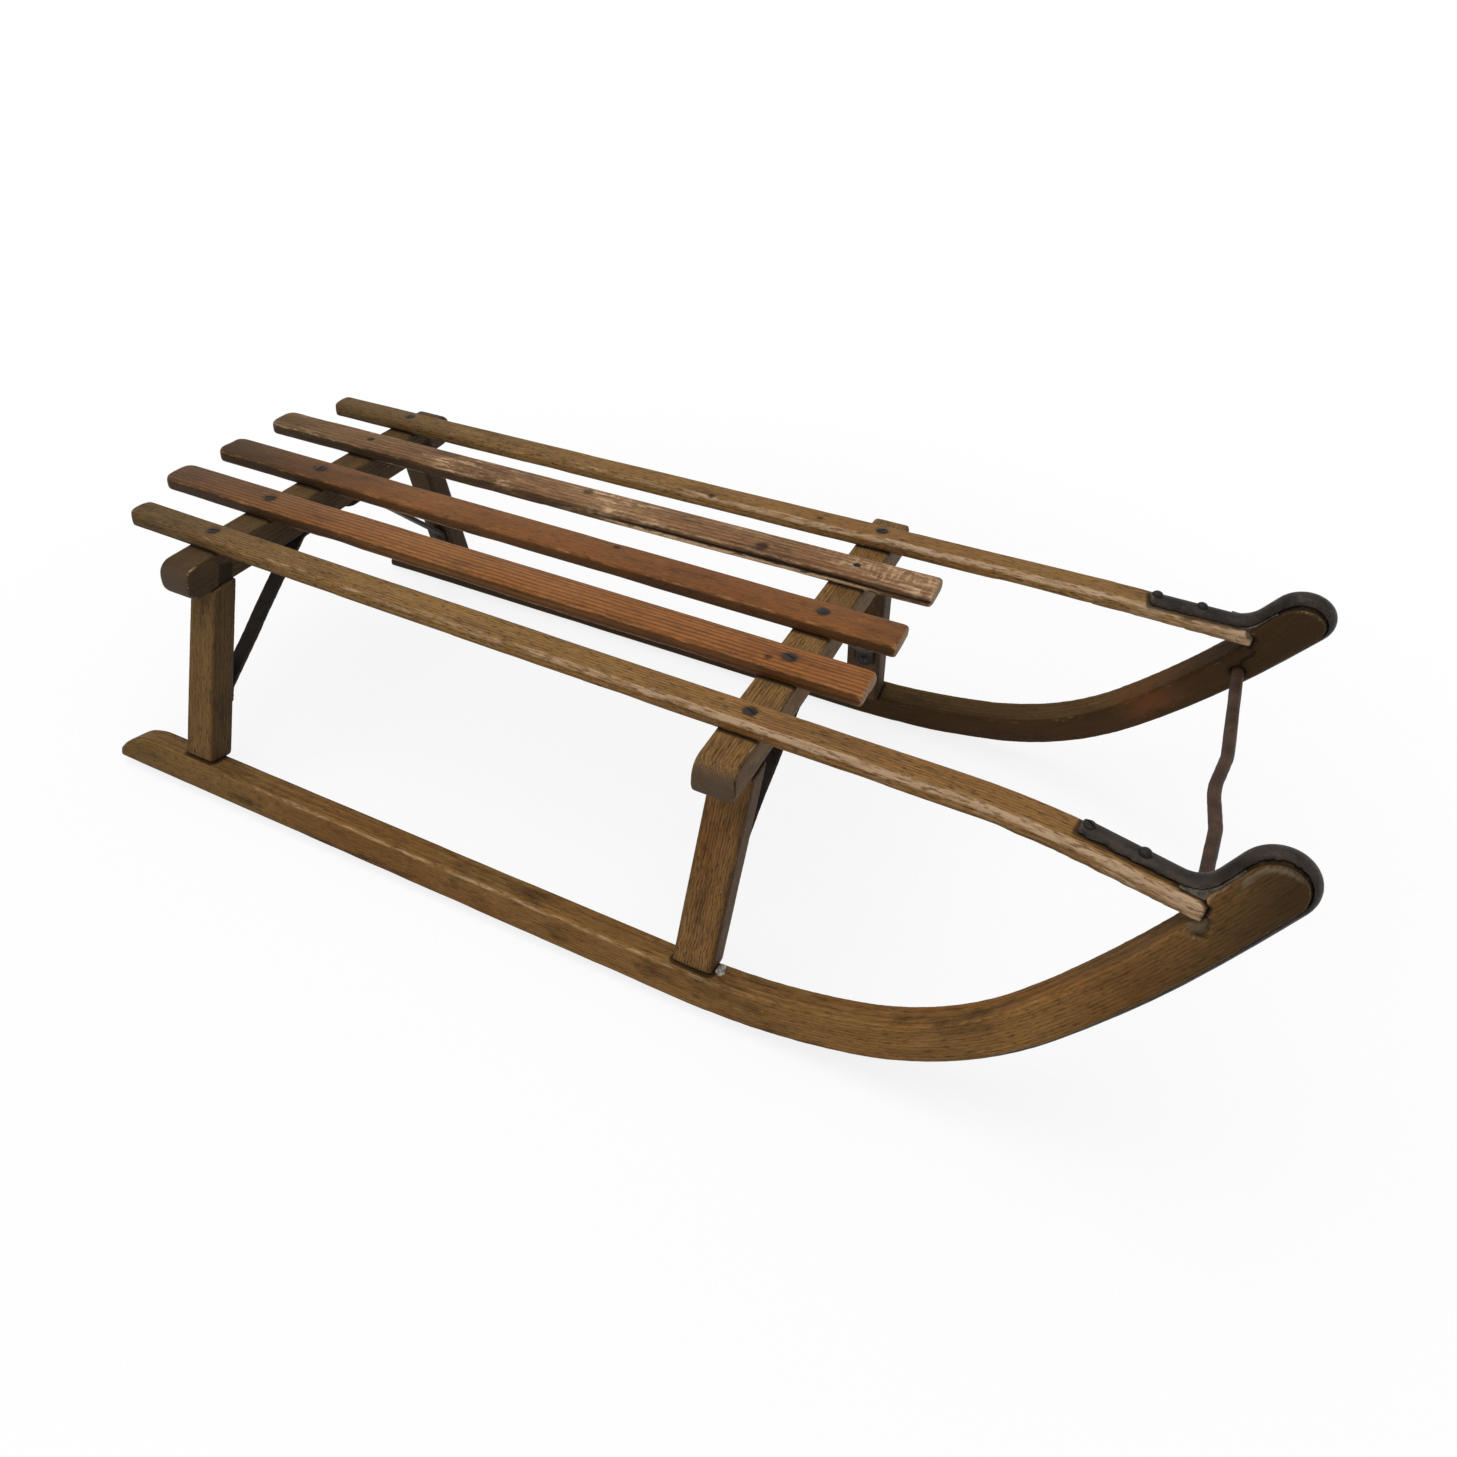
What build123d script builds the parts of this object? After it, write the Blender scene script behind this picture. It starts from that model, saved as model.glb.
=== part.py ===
"""Old bentwood sled: leaning runners with half-round irons, four legs, two crossbars and five slats.

The x axis runs forward, y to the left and z up. The origin is on the ground, below the middle.
"""

import os
from math import cos, isclose, radians, sin, tan

from build123d import *

# Overall sizes: rear pieces are placed from the slats' rear ends, front pieces from the noses
length = 966.0
track = 420.0
crossbar_top = 225.0

# Crossbars, with rounded ends that stand out past the rails
crossbar_size = 32.0
crossbar_round = 13.0
crossbar_edge = 1.5
crossbar_overhangs = {"rear": 36.1, "front": 39.8}
rear_crossbar_back = 97.0
front_crossbar_back = 369.0

# Inner slats: crowned, with rounded rear corners; each has its rear and front y as shares of the
# rail's, and how far it reaches ahead of the front crossbar's rear face
slat_thickness = 12.5
slat_width = 36.0
slat_crown = 1.5
slat_edge = 3.0
slat_rear_corner = 10.0
slat_front_corner = 3.0
slats = {
    "left": (0.540, 0.545, 88.0),
    "middle": (0.0, -0.011, 84.0),
    "right": (-0.498, -0.492, 81.5),
}

# Rails, the outermost slats: bent outwards and down ahead of the front crossbar
rail_width = 29.0
rail_bevel = 4.0
rail_edge = 1.5
rail_rear_corner = 14.0
rail_setback = 25.0
rail_end_back = 51.0
rail_taper = 11.6
rail_spread = 13.4
rail_bend_ahead = 208.0
rail_bend_radius = 600.0
rail_drop = 5.3

# Runners: the upswept front is three arcs, each a radius and a turn in degrees
runner_lean = 12.2
runner_setback = 20.0
runner_thickness = 27.0
runner_depth = 29.0
runner_edge = 2.0
rear_round = 22.0
low_arc_radius = 505.0
low_arc_turn = 15.5
mid_arc_radius = 234.0
mid_arc_turn = 34.0
high_arc_radius = 760.0
high_arc_turn = 10.7
tongue_length = 34.0
nose_radius = 18.0
notch_size = 14.0
notch_depth = 4.0

# Runner irons, half-round bars with their flat side on the wood
iron_width = 18.0
iron_thickness = 5.5
iron_setback = 27.0
strap_length = 79.0
strap_inset = 3.5
valley_radius = 22.0

# Legs, with a tenon at each end, and how far each pair stands ahead of its crossbar's middle
leg_aheads = {"rear": 4.0, "front": 0.5}
leg_lean = 17.0
leg_inset = 2.5
leg_depth = 33.0
leg_thickness = 26.0
leg_edge = 2.0
tenon_depth = 21.0
tenon_thickness = 13.0
foot_tenon = 15.0
head_tenon = 18.0

# Flat iron braces from the leg's inner face to the crossbar's underside: how far each pair lies
# ahead of its crossbar's middle, and how far up the leg it starts
brace_seats = {"rear": (7.0, 74.0), "front": (3.0, 84.0)}
brace_width = 17.0
brace_thickness = 4.0
brace_leg_tab = 20.0
brace_bar_bend = 47.0
brace_bar_end = 19.0
brace_bend_radius = 7.0
brace_end_radius = 8.0

# Draw bar between the runner fronts, bowed forward, with a kink back in its middle
bar_diameter = 9.4
bar_back = 50.5
bar_rise = 185.6
bar_seat = 9.0
bar_bow = 3.0
bar_kink = 4.5
bar_kink_y = -7.0
bar_kink_half = 6.0
bar_shoulder = 43.0
bar_bend_radius = 30.0

sides = {"left": 1, "right": -1}
lean = radians(runner_lean)
rear, nose_front = -length / 2, length / 2
crossbars = {"rear": rear + rear_crossbar_back, "front": nose_front - front_crossbar_back}
crossbar_base = crossbar_top - crossbar_size
curl_arcs = [
    (low_arc_radius, low_arc_turn),
    (mid_arc_radius, mid_arc_turn),
    (high_arc_radius, high_arc_turn),
]
runner_rear = rear + runner_setback
rail_rear, rail_end = rear + rail_setback, nose_front - rail_end_back
rail_bend = crossbars["front"] + rail_bend_ahead
rail_slope = tan(radians(rail_drop))
end_drop = (rail_end - rail_bend) * rail_slope

# The irons' round undersides touch the ground, which sets the height of the leaning planes
iron_radius = (iron_width**2 / 4 + iron_thickness**2) / (2 * iron_thickness)
ground_lift = iron_radius - (iron_radius - iron_thickness) * cos(lean)


def leaning_plane(side, foot_y, angle):
    """Leaning plane along the sled, at one side: x forward, y up along the lean."""
    return Plane(
        origin=(0, side * foot_y, ground_lift),
        x_dir=(1, 0, 0),
        z_dir=(0, -cos(radians(angle)), -side * sin(radians(angle))),
    )


def runner_plane(side):
    """Middle plane of one runner."""
    return leaning_plane(side, track / 2, runner_lean)


def leg_plane(side):
    """Middle plane of the legs at one side, which lean more than the runner."""
    return leaning_plane(side, track / 2 - leg_inset, leg_lean)


def on_runner(x, z):
    """A point of the runner's plane, from its place along the sled and its height."""
    return Vector(x, (z - ground_lift) / cos(lean))


def rail_y(x):
    """Distance of a rail's middle from the sled's middle, which meets the runner's at its end."""
    end_height = crossbar_top + slat_thickness / 2 - end_drop
    end_y = track / 2 - on_runner(rail_end, end_height).Y * sin(lean)
    if x > rail_bend:
        return end_y - rail_spread * (rail_end - x) / (rail_end - rail_bend)
    return end_y - rail_spread - rail_taper * (rail_bend - x) / (rail_bend - rail_rear)


def along_plane(back, front, back_y, front_y):
    """Upright plane on the crossbars' top, along a slat: x along it, y up."""
    run, spread = front - back, front_y - back_y
    return Plane(
        origin=(back, back_y, crossbar_top), x_dir=(run, spread, 0), z_dir=(spread, -run, 0)
    )


def section_plane(plane):
    """Plane across a slat's rear end: x across it, y up."""
    return Plane(origin=plane.origin, x_dir=-plane.z_dir, z_dir=plane.x_dir)


def plan_plane(plane):
    """Level plane from a slat's rear end, on the crossbars' top: x along the slat."""
    return Plane(origin=plane.origin, x_dir=plane.x_dir)


def curl_run():
    """Turn of the upswept front, and how far it reaches ahead of its start with its iron."""
    heading, reach = 0.0, 0.0
    for radius, turn in curl_arcs:
        reach += radius * (sin(radians(heading + turn)) - sin(radians(heading)))
        heading += turn
    reach += tongue_length * cos(radians(heading))
    return heading, reach + nose_radius * (1 - sin(radians(heading))) + iron_thickness


curl_turn, curl_reach = curl_run()
curl_start = nose_front - curl_reach


def curl(inset):
    """The runner's upswept arcs, set in by a depth from its underside."""
    arcs = []
    start, heading = Vector(curl_start, inset), Vector(1, 0)
    for radius, turn in curl_arcs:
        arcs.append(JernArc(start, heading, radius - inset, turn))
        start, heading = arcs[-1] @ 1, arcs[-1] % 1
    return arcs


def sole_line(back):
    """Outline that runner and iron share: the sole, the upsweep and the nose."""
    sole = Line((back, 0), (curl_start, 0))
    last = curl(0)[-1]
    tongue = Line(last @ 1, (last @ 1) + (last % 1) * tongue_length)
    nose = JernArc(tongue @ 1, tongue % 1, nose_radius, 180)
    return sole @ 0, nose @ 1


def valley(nose_end):
    """Corner where the tongue's back meets the rail's top."""
    seat = on_runner(rail_end, crossbar_top + slat_thickness - end_drop)
    steep, gentle = tan(radians(curl_turn)), -rail_slope / cos(lean)
    back = nose_end - seat
    return seat + Vector(1, gentle) * ((back.Y - steep * back.X) / (gentle - steep))


def strap_end(side):
    """Rear end of an iron's strap, on the rail's top and nearer to its inner edge."""
    x = rail_end - strap_length
    y = side * (rail_y(x) - strap_inset)
    return Vector(x, y, crossbar_top + slat_thickness - (x - rail_bend) * rail_slope)


def save(builder, name):
    """Name a finished piece and write it."""
    builder.part.label = name
    export_step(builder.part, f"parts/{name}.step")


os.makedirs("parts", exist_ok=True)

# Runner irons: under the runner, round the nose, into the valley and up onto the rail
irons = {}
for name, side in sides.items():
    plane = runner_plane(side)
    with BuildLine() as foot_path:
        start, nose_end = sole_line(rear + iron_setback)
    with BuildLine() as iron_path:
        add(plane.from_local_coords(foot_path.line))
        FilletPolyline(
            plane.from_local_coords(nose_end),
            plane.from_local_coords(valley(nose_end)),
            strap_end(side),
            radius=valley_radius,
        )
    with BuildPart() as iron:
        with BuildSketch(
            Plane(origin=plane.from_local_coords(start), x_dir=plane.z_dir, z_dir=plane.x_dir)
        ):
            with BuildLine():
                Line((-iron_width / 2, 0), (iron_width / 2, 0))
                ThreePointArc((iron_width / 2, 0), (0, iron_thickness), (-iron_width / 2, 0))
            make_face()
        sweep(path=iron_path.line)
    irons[name] = iron.part
    save(iron, f"runner_iron_{name}")

# Draw bar, held in both runners
with BuildPart() as draw_bar:
    bar_x = nose_front - bar_back
    kink_x = bar_x + bar_bow - bar_kink
    end_y = track / 2 - bar_rise * sin(lean) - runner_thickness / 2 * cos(lean) + bar_seat
    with BuildLine(Plane.XY.offset(ground_lift + bar_rise * cos(lean))) as bar_path:
        FilletPolyline(
            (bar_x, end_y),
            (bar_x + bar_bow, bar_kink_y + bar_shoulder),
            (kink_x, bar_kink_y + bar_kink_half),
            (kink_x, bar_kink_y - bar_kink_half),
            (bar_x + bar_bow, bar_kink_y - bar_shoulder),
            (bar_x, -end_y),
            radius=bar_bend_radius,
        )
    with BuildSketch(Plane(origin=bar_path.line @ 0, z_dir=bar_path.line % 0)):
        Circle(bar_diameter / 2)
    sweep(path=bar_path.line)
save(draw_bar, "draw_bar")

# Rails: level over the crossbars, bent into the runner's front, bevelled along the top
rails = {}
for name, side in sides.items():
    stations = [(rail_rear, 0), (rail_bend, 0), (rail_end, end_drop)]
    base = [Vector(x, side * rail_y(x), crossbar_top - drop) for x, drop in stations]
    plane = along_plane(rail_rear, rail_bend, base[0].Y, base[1].Y)
    with BuildLine() as base_line:
        FilletPolyline(*base, radius=rail_bend_radius)
    with BuildPart() as rail:
        with BuildSketch(section_plane(plane)) as section:
            Rectangle(rail_width, slat_thickness, align=(Align.CENTER, Align.MIN))
            chamfer(section.vertices().group_by(Axis.Y)[-1], rail_bevel)
            fillet(section.vertices().group_by(Axis.Y)[0], rail_edge)
        sweep(path=base_line.line)
        with BuildSketch(plan_plane(plane)):
            Rectangle(2 * rail_width, 2 * rail_width)
            with Locations((rail_width, 0)):
                RectangleRounded(
                    2 * rail_width,
                    rail_width + 2 * rail_edge,
                    rail_rear_corner,
                    mode=Mode.SUBTRACT,
                )
        extrude(amount=crossbar_top, both=True, mode=Mode.SUBTRACT)
        add(irons[name], mode=Mode.SUBTRACT)
    rails[name] = rail.part
    save(rail, f"rail_{name}")

# Legs: shoulders on the runner and under the crossbar, with a tenon into each
legs = {}
for place, back in crossbars.items():
    for name, side in sides.items():
        plane = leg_plane(side)
        middle = back + crossbar_size / 2 + leg_aheads[place]
        head = (crossbar_base - ground_lift) / cos(radians(leg_lean))
        foot = runner_plane(side).from_local_coords(Vector(middle, runner_depth))
        with BuildPart() as leg:
            with BuildSketch(plane):
                with Locations((middle, head / 2)):
                    Rectangle(leg_depth, 2 * head)
            extrude(amount=leg_thickness / 2, both=True)
            chamfer(leg.edges().filter_by(Axis((0, 0, 0), plane.y_dir)), leg_edge)
            split(bisect_by=Plane.XY.offset(crossbar_base), keep=Keep.BOTTOM)
            split(bisect_by=Plane(foot, (1, 0, 0), runner_plane(side).y_dir), keep=Keep.TOP)
            tenon_low, tenon_high = runner_depth - foot_tenon, head + head_tenon
            with BuildSketch(plane):
                with Locations((middle, (tenon_low + tenon_high) / 2)):
                    Rectangle(tenon_depth, tenon_high - tenon_low)
            extrude(amount=tenon_thickness / 2, both=True)
        legs[place, name] = leg.part
        save(leg, f"leg_{place}_{name}")

# Runners: straight sole, upswept front and a tongue-shaped nose, cut for rail, draw bar and legs
for name, side in sides.items():
    plane = runner_plane(side)
    with BuildPart() as runner:
        with BuildSketch(plane):
            with BuildLine():
                sole_end, nose_end = sole_line(runner_rear)
                over = curl(runner_depth)
                Polyline(nose_end, valley(nose_end), over[-1] @ 1)
                riser = Line(sole_end, (runner_rear, runner_depth - rear_round))
                rear_arc = JernArc(riser @ 1, riser % 1, rear_round, -90)
                Line(rear_arc @ 1, (curl_start, runner_depth))
            make_face()
        extrude(amount=runner_thickness / 2, both=True)
        long_edges = runner.faces().sort_by(SortBy.AREA)[-2:].edges()
        chamfer([edge for edge in long_edges if edge.length > rear_round], runner_edge)
        add(rails[name], mode=Mode.SUBTRACT)
        add(draw_bar.part, mode=Mode.SUBTRACT)
        for place in crossbars:
            add(legs[place, name], mode=Mode.SUBTRACT)
        seat = on_runner(rail_end, crossbar_top - end_drop)
        with BuildSketch(plane.offset(-side * runner_thickness / 2)):
            with Locations((seat.X - notch_size * 0.7, seat.Y - notch_size / 3)):
                Rectangle(2 * notch_size, notch_size)
        extrude(amount=side * notch_depth, mode=Mode.SUBTRACT)
    save(runner, f"runner_{name}")

# Crossbars with rounded ends, mortised for the legs
for place, back in crossbars.items():
    half = rail_y(back) + rail_width / 2 + crossbar_overhangs[place]
    with BuildPart() as crossbar:
        with BuildSketch(Plane.YZ.offset(back)) as outline:
            with Locations((0, crossbar_top - crossbar_size / 2)):
                Rectangle(2 * half, crossbar_size)
            fillet(outline.vertices(), crossbar_round)
        extrude(amount=crossbar_size)
        chamfer(crossbar.edges().filter_by(Axis.Y), crossbar_edge)
        for name in sides:
            add(legs[place, name], mode=Mode.SUBTRACT)
    save(crossbar, f"crossbar_{place}")

# Inner slats
crown_radius = (slat_width**2 / 4 + slat_crown**2) / (2 * slat_crown)
for name, (rear_share, front_share, ahead) in slats.items():
    slat_front = crossbars["front"] + ahead
    plane = along_plane(
        rear, slat_front, rear_share * rail_y(rear), front_share * rail_y(slat_front)
    )
    with BuildPart() as slat:
        with BuildSketch(plan_plane(plane)) as outline:
            with Locations(((slat_front - rear) / 2, 0)):
                Rectangle(slat_front - rear, slat_width)
            fillet(outline.vertices().group_by(Axis.X)[0], slat_rear_corner)
            fillet(outline.vertices().group_by(Axis.X)[-1], slat_front_corner)
        extrude(amount=slat_thickness + slat_crown)
        with BuildSketch(section_plane(plane).offset(-slat_width)):
            with Locations((0, slat_thickness - crown_radius)):
                Circle(crown_radius)
        extrude(amount=length, mode=Mode.INTERSECT)
        fillet(slat.faces().sort_by(Axis.Z)[-1].edges(), slat_edge)
    save(slat, f"slat_{name}")

# Braces: a tab on the leg, a diagonal and a tab under the crossbar
for place, (ahead, up) in brace_seats.items():
    for name, side in sides.items():
        inward = side * (leg_thickness + brace_thickness) / 2
        low = leg_plane(side).from_local_coords(Vector(0, up, inward))
        bend = leg_plane(side).from_local_coords(Vector(0, up + brace_leg_tab, inward))
        under = crossbar_base - brace_thickness / 2
        with BuildPart() as brace:
            with BuildLine(Plane.YZ.offset(crossbars[place] + crossbar_size / 2 + ahead)) as brace_path:
                FilletPolyline(
                    (low.Y, low.Z),
                    (bend.Y, bend.Z),
                    (side * brace_bar_bend, under),
                    (side * brace_bar_end, under),
                    radius=brace_bend_radius,
                )
            with BuildSketch(Plane(brace_path.line @ 0, (1, 0, 0), brace_path.line % 0)):
                Rectangle(brace_width, brace_thickness)
            sweep(path=brace_path.line)
            ends = [e for e in brace.edges() if isclose(e.length, brace_thickness, abs_tol=0.01)]
            fillet(ends, brace_end_radius)
        save(brace, f"brace_{place}_{name}")
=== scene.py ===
"""Old bentwood sled: worn wood, forged irons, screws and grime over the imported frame."""

import math
import random

import bmesh
import bpy
import numpy as np
from bpy.props import FloatProperty, FloatVectorProperty, PointerProperty
from mathutils import Matrix, Vector, noise
from mathutils.bvhtree import BVHTree


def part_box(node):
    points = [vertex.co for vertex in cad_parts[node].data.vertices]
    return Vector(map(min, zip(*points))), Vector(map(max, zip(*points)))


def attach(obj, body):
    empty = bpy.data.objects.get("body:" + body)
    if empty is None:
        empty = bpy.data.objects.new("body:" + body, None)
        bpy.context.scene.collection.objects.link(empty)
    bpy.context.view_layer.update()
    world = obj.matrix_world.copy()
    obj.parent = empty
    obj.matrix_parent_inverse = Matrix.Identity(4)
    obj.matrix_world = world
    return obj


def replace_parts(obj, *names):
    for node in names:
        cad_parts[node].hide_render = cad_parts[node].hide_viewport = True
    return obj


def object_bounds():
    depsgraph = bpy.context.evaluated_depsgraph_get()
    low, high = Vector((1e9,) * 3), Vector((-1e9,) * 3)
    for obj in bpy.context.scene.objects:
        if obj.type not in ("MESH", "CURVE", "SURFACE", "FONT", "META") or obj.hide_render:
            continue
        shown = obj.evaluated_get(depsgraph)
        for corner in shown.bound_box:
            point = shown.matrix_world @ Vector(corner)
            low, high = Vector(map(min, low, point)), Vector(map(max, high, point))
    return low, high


bl_info = {
    "name": "Old Wooden Sled",
    "version": (1, 0, 0),
    "blender": (4, 5, 0),
    "location": "View3D > Sidebar > Sled",
    "description": "Dresses the sled's frame in worn wood, irons and screws",
    "category": "Object",
}

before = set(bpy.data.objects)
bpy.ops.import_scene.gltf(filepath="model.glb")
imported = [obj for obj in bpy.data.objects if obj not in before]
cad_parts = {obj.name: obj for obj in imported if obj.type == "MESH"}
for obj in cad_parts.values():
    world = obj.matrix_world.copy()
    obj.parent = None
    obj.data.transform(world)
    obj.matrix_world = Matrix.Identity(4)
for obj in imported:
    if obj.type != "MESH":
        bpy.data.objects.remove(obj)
cad_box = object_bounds()

SIDES = {"left": 1, "right": -1}
PLACES = ("rear", "front")

# Runner plane and its underside, in metres as in the solid: arcs of a radius and a turn in degrees
RUNNER_LEAN = math.radians(12.2)
RUNNER_FOOT_Y = 0.210
RUNNER_LIFT = 0.0056
RUNNER_SETBACK = 0.020
CURL_START = 0.1263
CURL_ARCS = ((0.505, 15.5), (0.234, 34.0), (0.760, 10.7))
TONGUE = 0.034
NOSE_RADIUS = 0.018
VALLEY_RADIUS = 0.022
SOLE_STEP = 0.004
TONGUE_STEPS = 16
VALLEY_X = 0.44

# Rails and slats: their top, the rails' bend and slope ahead of it, and where the screws go
SEAT_TOP = 0.2375
RAIL_BEND = 0.322
RAIL_DROP = math.radians(5.3)
SCREW_X = {"rear": -0.3665, "front": 0.133}
SCREWED_ON = ("rail_left", "slat_left", "slat_middle", "slat_right", "rail_right")
STRAP_SCREW_X = (0.358, 0.392)
STRAP_WINDOW = 0.003
STRAP_ABOVE = 0.2
BRACE_TAB = 0.018

# Worn shapes: sloped rear ends, pared legs, the gap inside the nose's iron, a split slat, fillings
REAR_SLOPE = 0.042
REAR_SINK = 0.45
LEG_PARING = 0.0035
NOSE_GAP = 0.0018
SPLIT_DEPTH = 0.0022
SPLIT_HEIGHT = 0.0055
SPLIT_WIDTH = 0.0013
LIP_HEIGHT = 0.002
FILLER_HALF = 0.0096
FILLER_RUN = 0.014
FILLER_TUCK = 0.001
FILLER_BACK = 0.002
FILLER_LUMP = 0.0012
LUMPS_PER_METRE = 220
CRUMB = (0.1515, -0.2025, 0.0355)
CRUMB_LUMPS_PER_METRE = 260
CRUMB_BULGE = 0.3
CRUMB_SQUEEZE = 0.7
CRUMB_FOOT = -0.002
# Depth at which a groove is painted fully dark, as painted shade with soiling
GROOVE_GRIME_AND_SHADE_DEPTH = 0.001

# Marks of age: spots as a place on their piece and a radius, cracks from one place to another
RIGHT_BLOT = ((0.119, -0.080, 0.2375), 0.0035)
RAIL_HOLES = (((-0.0239, 0.1345, 0.2371), 0.0032), ((0.0779, 0.1423, 0.2375), 0.0032))
RED_TRACE = ((0.158, -0.1618, 0.2337), 0.011)
MIDDLE_KNOT = ((-0.0538, 0.0078, 0.2371), 0.004)
LEFT_KNOTS = (((-0.1246, 0.0835, 0.2371), 0.006), ((0.052, 0.071, 0.2371), 0.006))
STAIN = ((0.381, 0.170, 0.126), 0.032)
CROSSBAR_SPLIT = ((0.146, -0.1985, 0.2165), (0.146, -0.196, 0.203))
RUNNER_CRACK = ((0.4375, 0.1512, 0.2115), (0.431, 0.157, 0.188))
CRACK_SWAY = (1, 0.3, 0)
BAR_HOLE = (0.4325, 0.157, 0.187)
BAR_HOLE_DIRT = 0.0075
SCREW_DIRT = 0.62

# Bruises: the nose's rim as distances from its middle with their strength, and the notch's bed
NOSE_RIM = ((0.0105, 0), (0.0145, 0.6), (0.0165, 0.7), (0.019, 0))
NOSE_UPPER = (-0.5, 0.87)
NOTCH = (0.4282, 0.1761, 0.2074)
NOTCH_REACH = 0.016
NOTCH_BED = 0.0115
BRUISE = 0.6

# Painted shade, 0 to 1, by the way a face looks: underneath, on faces turned from the light and on the
# far runner's top; the far legs and the crossbars are also darker all over, the rear crossbar most
UNDER_SHADE = 0.6
RUNNER_FACE_SHADE = {"inner": 0.82, "outer": 0.24}
FAR_TOP_SHADE = 0.6
LEG_FACE_SHADE = {"ends": 0.64, "sides": 0.3}
FAR_LEG_DARKENING = 0.22
SLAT_SIDE_SHADE = 0.45
CROSSBAR_TONE_AND_SHADE = {"all": 0.22, "sides": 0.1, "rear": 0.42}

# How a mesh's edges, hollows, dents and waves are found: smoothing rounds, gains, counts per metre
CURVE_ROUNDS = 8
EDGE_GAIN = 2.6
EDGE_START = 0.15
HOLLOW_GAIN = 2.4
WEAR_GAIN = 1.4
DENT_START = 0.1
DENT_GAIN = 2
END_START = 0.45
END_GAIN = 2
DENTS_PER_METRE = (22.0, 60.0, 60.0)
WAVES_PER_METRE = 18.0
GRAIN_STATIONS = 24

# Noise in the wood: counts per metre along and across the grain, detail and roughness
WOOD_NOISE = {
    "fibre": (45, 620, 6, 0.7),
    "band": (5, 130, 4, 0.6),
    "pore": (140, 1000, 2, 0.5),
    "stain": (15, 46, 6, 0.68),
    "cloud": (4, 13, 4, 0.55),
    "mottle": (55, 130, 6, 0.72),
    "drift": (10, 32, 4, 0.6),
    "patchy": (45, 300, 6, 0.75),
    "fleck": (90, 520, 3, 0.6),
}
FLAKE_NOISE = {"pale": (42, 150, 6, 0.75), "where": (6, 30, 3, 0.6), "bars": (260, 60, 3, 0.55)}
RING_STRETCH = (0.04, 1, 1)
DOT_RADIUS = 0.03

# The floor's half width, how far from the middle its shadow fades out, and the white veil over it
FLOOR_REACH = 30.0
SHADOW_FADE = (0.45, 1.0)
FLOOR_VEIL = 0.84

# Marks kept at each point; some carry painted light: the darkening of faces turned from the light and
# underneath, the darkening in hollows, grooves and joints, and a painted highlight among the rubbed slat
# edges
MARKS = ("wear_and_sheen", "grime_and_shade", "shade_and_patina", "warm", "grey", "olive", "crossed")
UP = np.array((0.0, 0.0, 1.0))
LEFT = np.array((0.0, 1.0, 0.0))


def srgb(red, green, blue):
    """Linear colour from the usual 0 to 255 values."""
    return tuple(
        c / 12.92 if c <= 0.04045 else ((c + 0.055) / 1.055) ** 2.4
        for c in (red / 255, green / 255, blue / 255)
    )


def colour(name, description, red, green, blue):
    """A colour property."""
    return FloatVectorProperty(
        name=name,
        description=description,
        subtype="COLOR",
        size=3,
        min=0,
        max=1,
        default=srgb(red, green, blue),
    )


def size(name, description, millimetres):
    """A length property."""
    return FloatProperty(
        name=name, description=description, default=millimetres / 1000, subtype="DISTANCE"
    )


def share(name, description, default):
    """A factor property."""
    return FloatProperty(
        name=name, description=description, default=default, min=0, max=2, subtype="FACTOR"
    )


def angle(name, description, degrees):
    """An angle property."""
    return FloatProperty(
        name=name, description=description, default=math.radians(degrees), subtype="ANGLE"
    )


def power(name, description, watts):
    """A light's power property."""
    return FloatProperty(name=name, description=description, default=watts, unit="POWER")


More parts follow.
